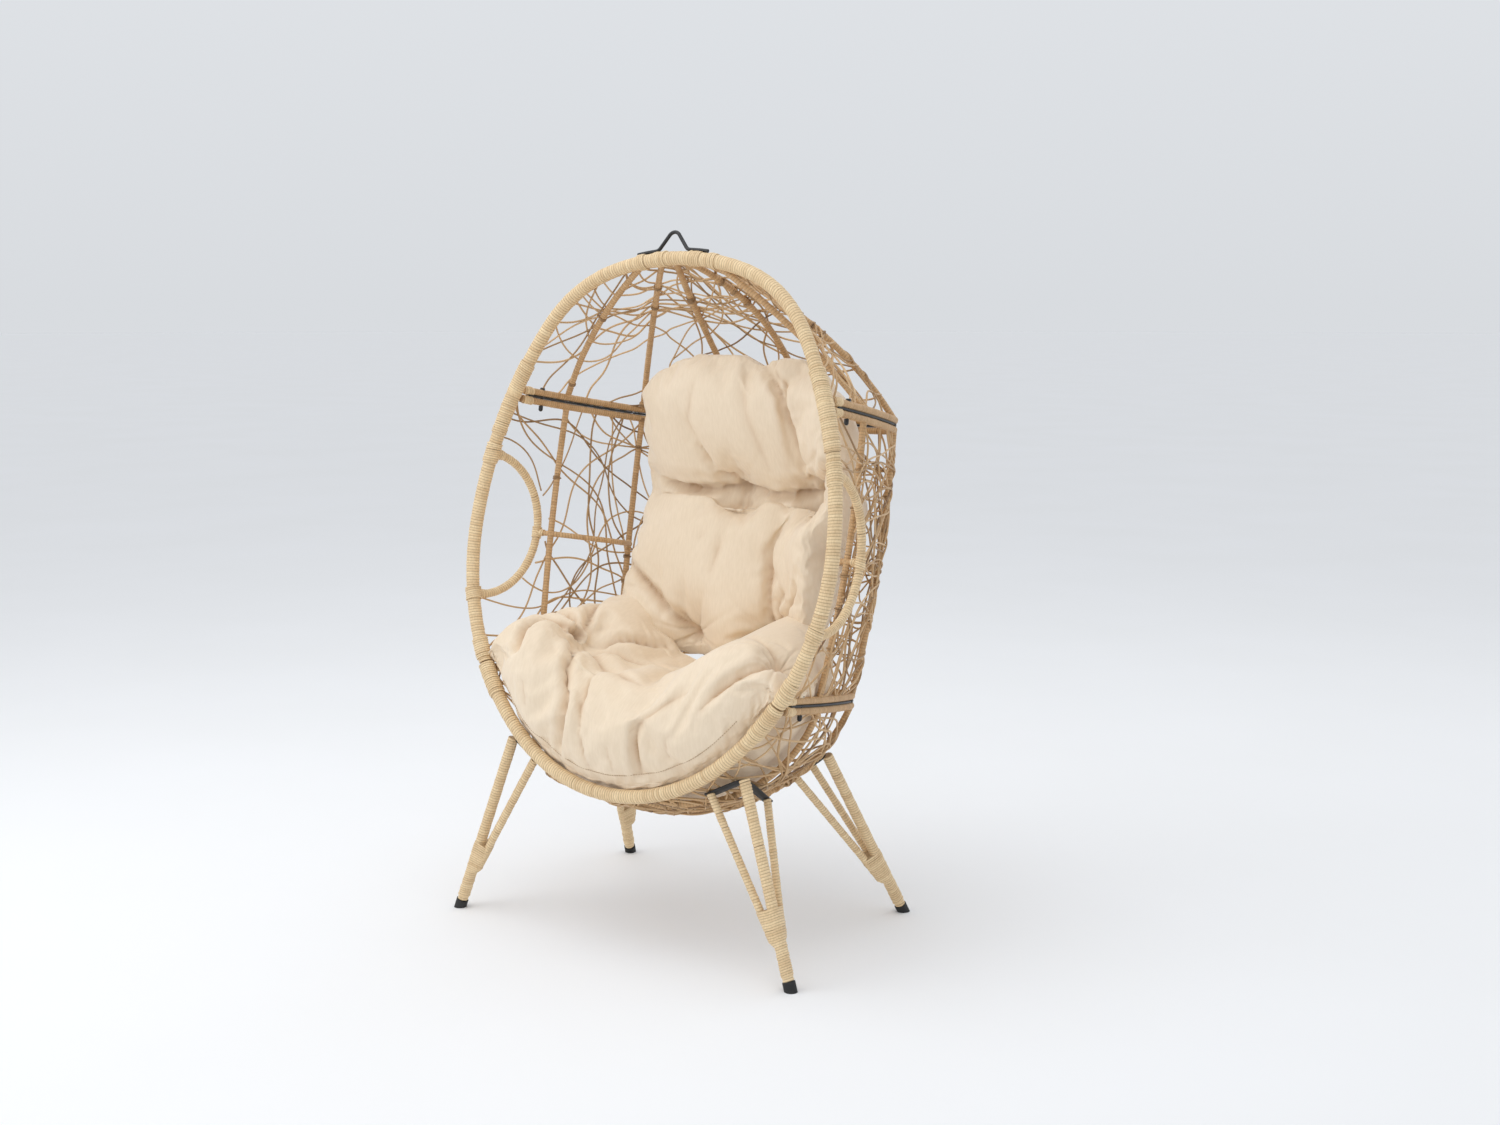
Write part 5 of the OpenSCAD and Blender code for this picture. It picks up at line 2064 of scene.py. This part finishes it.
    def build(self) -> None:
        """Makes both pads and their seams."""
        back = Pad(
            "tufted_back_pad", self.basket, self.palette, BACK_TUFTS, BACK_FOLDS, self.back_face,
            self.back_sides, flat=(0.33, 0.65), columns=92, rows=96)
        back.build("back_cushion")
        seat = Pad(
            "tufted_seat_pad", self.basket, self.palette, SEAT_TUFTS, SEAT_FOLDS, self.seat_face,
            self.seat_sides, flat=(0.39, 0.55), columns=108, rows=108)
        piece = seat.build("seat_cushion")
        self.stitch_hem(piece)


def cubic_weights(f: Array) -> list[Array]:
    """Weights of the four neighbours for a smooth curve through the control points."""
    return [-0.5 * f ** 3 + f ** 2 - 0.5 * f, 1.5 * f ** 3 - 2.5 * f ** 2 + 1,
            -1.5 * f ** 3 + 2 * f ** 2 + 0.5 * f, 0.5 * f ** 3 - 0.5 * f ** 2]


def extended(net: Array, j: Array, i: Array) -> Array:
    """Control points of a net, carried on in a straight line past its edges."""
    rows, columns = net.shape[:2]
    jc, ic = np.clip(j, 0, rows - 1), np.clip(i, 0, columns - 1)
    jm, im = np.clip(2 * jc - j, 0, rows - 1), np.clip(2 * ic - i, 0, columns - 1)
    return net[jc, ic] + (net[jc, ic] - net[jm, ic]) + (net[jc, ic] - net[jc, im])


# ---------------------------------------------------------------------------------------------
# Hardware and studio
# ---------------------------------------------------------------------------------------------


@dataclass
class Hardware:
    """Steel and rubber pieces that keep the frame's own shapes."""

    palette: Palette
    steel: tuple[str, ...] = (
        "upper_seam_strip", "lower_seam_strip", "seam_bolts", "seam_nuts", "hanging_hook")
    rubber: tuple[str, ...] = ("foot_caps",)

    def build(self) -> None:
        """Gives each piece its material."""
        for names, material in ((self.steel, self.palette.steel), (self.rubber, self.palette.rubber)):
            for name in names:
                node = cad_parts[name]
                node.data.materials.clear()
                node.data.materials.append(material)
                LOG.info("%s: dressed", name)


@dataclass
class Studio:
    """Pale seamless floor, soft lights and the camera."""

    palette: Palette
    camera_at: tuple[float, float, float] = (2.357, -3.182, 1.363)
    camera_turn: tuple[float, float, float] = (81.8, 0.0, 34.8)
    lens: float = 43.5
    air: float = 0.80

    def floor(self) -> None:
        """A wide round floor that meets the pale air far away."""
        rings = np.array([2.0, 5.0, 12.0, 30.0, 80.0])
        angles = np.linspace(0, TAU, 48, endpoint=False)
        circle = np.stack([np.cos(angles), np.sin(angles), 0 * angles], axis=1)
        points = [np.zeros((1, 3))] + [r * circle for r in rings]
        n = len(angles)
        faces = [[0, 1 + k, 1 + (k + 1) % n] for k in range(n)]
        for i in range(len(rings) - 1):
            a, b = 1 + i * n, 1 + (i + 1) * n
            faces += [[a + k, b + k, b + (k + 1) % n, a + (k + 1) % n] for k in range(n)]
        shell = Shell()
        shell.add(np.concatenate(points), faces)
        piece = shell.build("studio_floor")
        piece.data.materials.append(self.palette.floor)

    def light(self, name: str, at: Array, aim: Array, size: float, power: float) -> None:
        """One soft square light.

        Args:
            name: Name of the light.
            at: Its place.
            aim: Point that it faces.
            size: Length of its side.
            power: Power in watts.
        """
        data = bpy.data.lights.new(name, "AREA")
        data.shape = "SQUARE"
        data.size = size
        data.energy = power
        lamp = bpy.data.objects.new(name, data)
        lamp.location = at
        lamp.rotation_euler = (Vector(aim) - Vector(at)).to_track_quat("-Z", "Y").to_euler()
        bpy.context.scene.collection.objects.link(lamp)

    def build(self) -> None:
        """Sets the floor, world, lights and camera."""
        self.floor()
        world = bpy.data.worlds.new("studio_air")
        world.use_nodes = True
        tree = world.node_tree
        air = tree.nodes["Background"]
        air.inputs["Color"].default_value = (0.93, 0.96, 1.0, 1)
        split = tree.nodes.new("ShaderNodeSeparateXYZ")
        tree.links.new(tree.nodes.new("ShaderNodeTexCoord").outputs["Generated"], split.inputs[0])
        rise = tree.nodes.new("ShaderNodeMapRange")
        rise.inputs["From Max"].default_value = 0.2
        rise.inputs["To Min"].default_value = self.air * self.palette.floor_tone
        rise.inputs["To Max"].default_value = self.air
        tree.links.new(split.outputs["Z"], rise.inputs["Value"])
        tree.links.new(rise.outputs["Result"], air.inputs["Strength"])
        bpy.context.scene.world = world
        bpy.context.scene.view_settings.view_transform = "Standard"
        middle = np.array([0.0, 0.0, 0.8])
        self.light("top_light", np.array([-0.6, -0.8, 3.6]), middle, 3.2, 38)
        self.light("front_light", np.array([-2.6, -3.4, 2.4]), middle, 2.6, 30)
        self.light("back_light", np.array([1.5, 3.0, 3.2]), middle, 2.5, 10)
        data = bpy.data.cameras.new("camera")
        data.lens = self.lens
        data.sensor_width = 36.0
        camera = bpy.data.objects.new("camera", data)
        camera.location = self.camera_at
        camera.rotation_euler = [math.radians(a) for a in self.camera_turn]
        bpy.context.scene.collection.objects.link(camera)
        bpy.context.scene.camera = camera


def main() -> None:
    """Builds the chair's sub-assemblies in order."""
    logging.basicConfig(level=logging.INFO, format="%(name)s %(message)s")
    basket = Basket()
    palette = Palette()
    Studio(palette).build()
    wound = BasketFrame(basket, palette)
    wound.build()
    Legs(basket, palette).build()
    Hardware(palette).build()
    Weave(SkinGrid(basket, Section.HOOD), palette, 501, 40).build("hood_weave")
    Weave(SkinGrid(basket, Section.MIDDLE), palette, 602, 76,
          arm_window=wound.arm_window()).build("middle_weave")
    Weave(SkinGrid(basket, Section.BOWL), palette, 703, 58).build("bowl_weave")
    Cushion(basket, palette).build()
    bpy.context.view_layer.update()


if __name__ == "__main__":
    main()
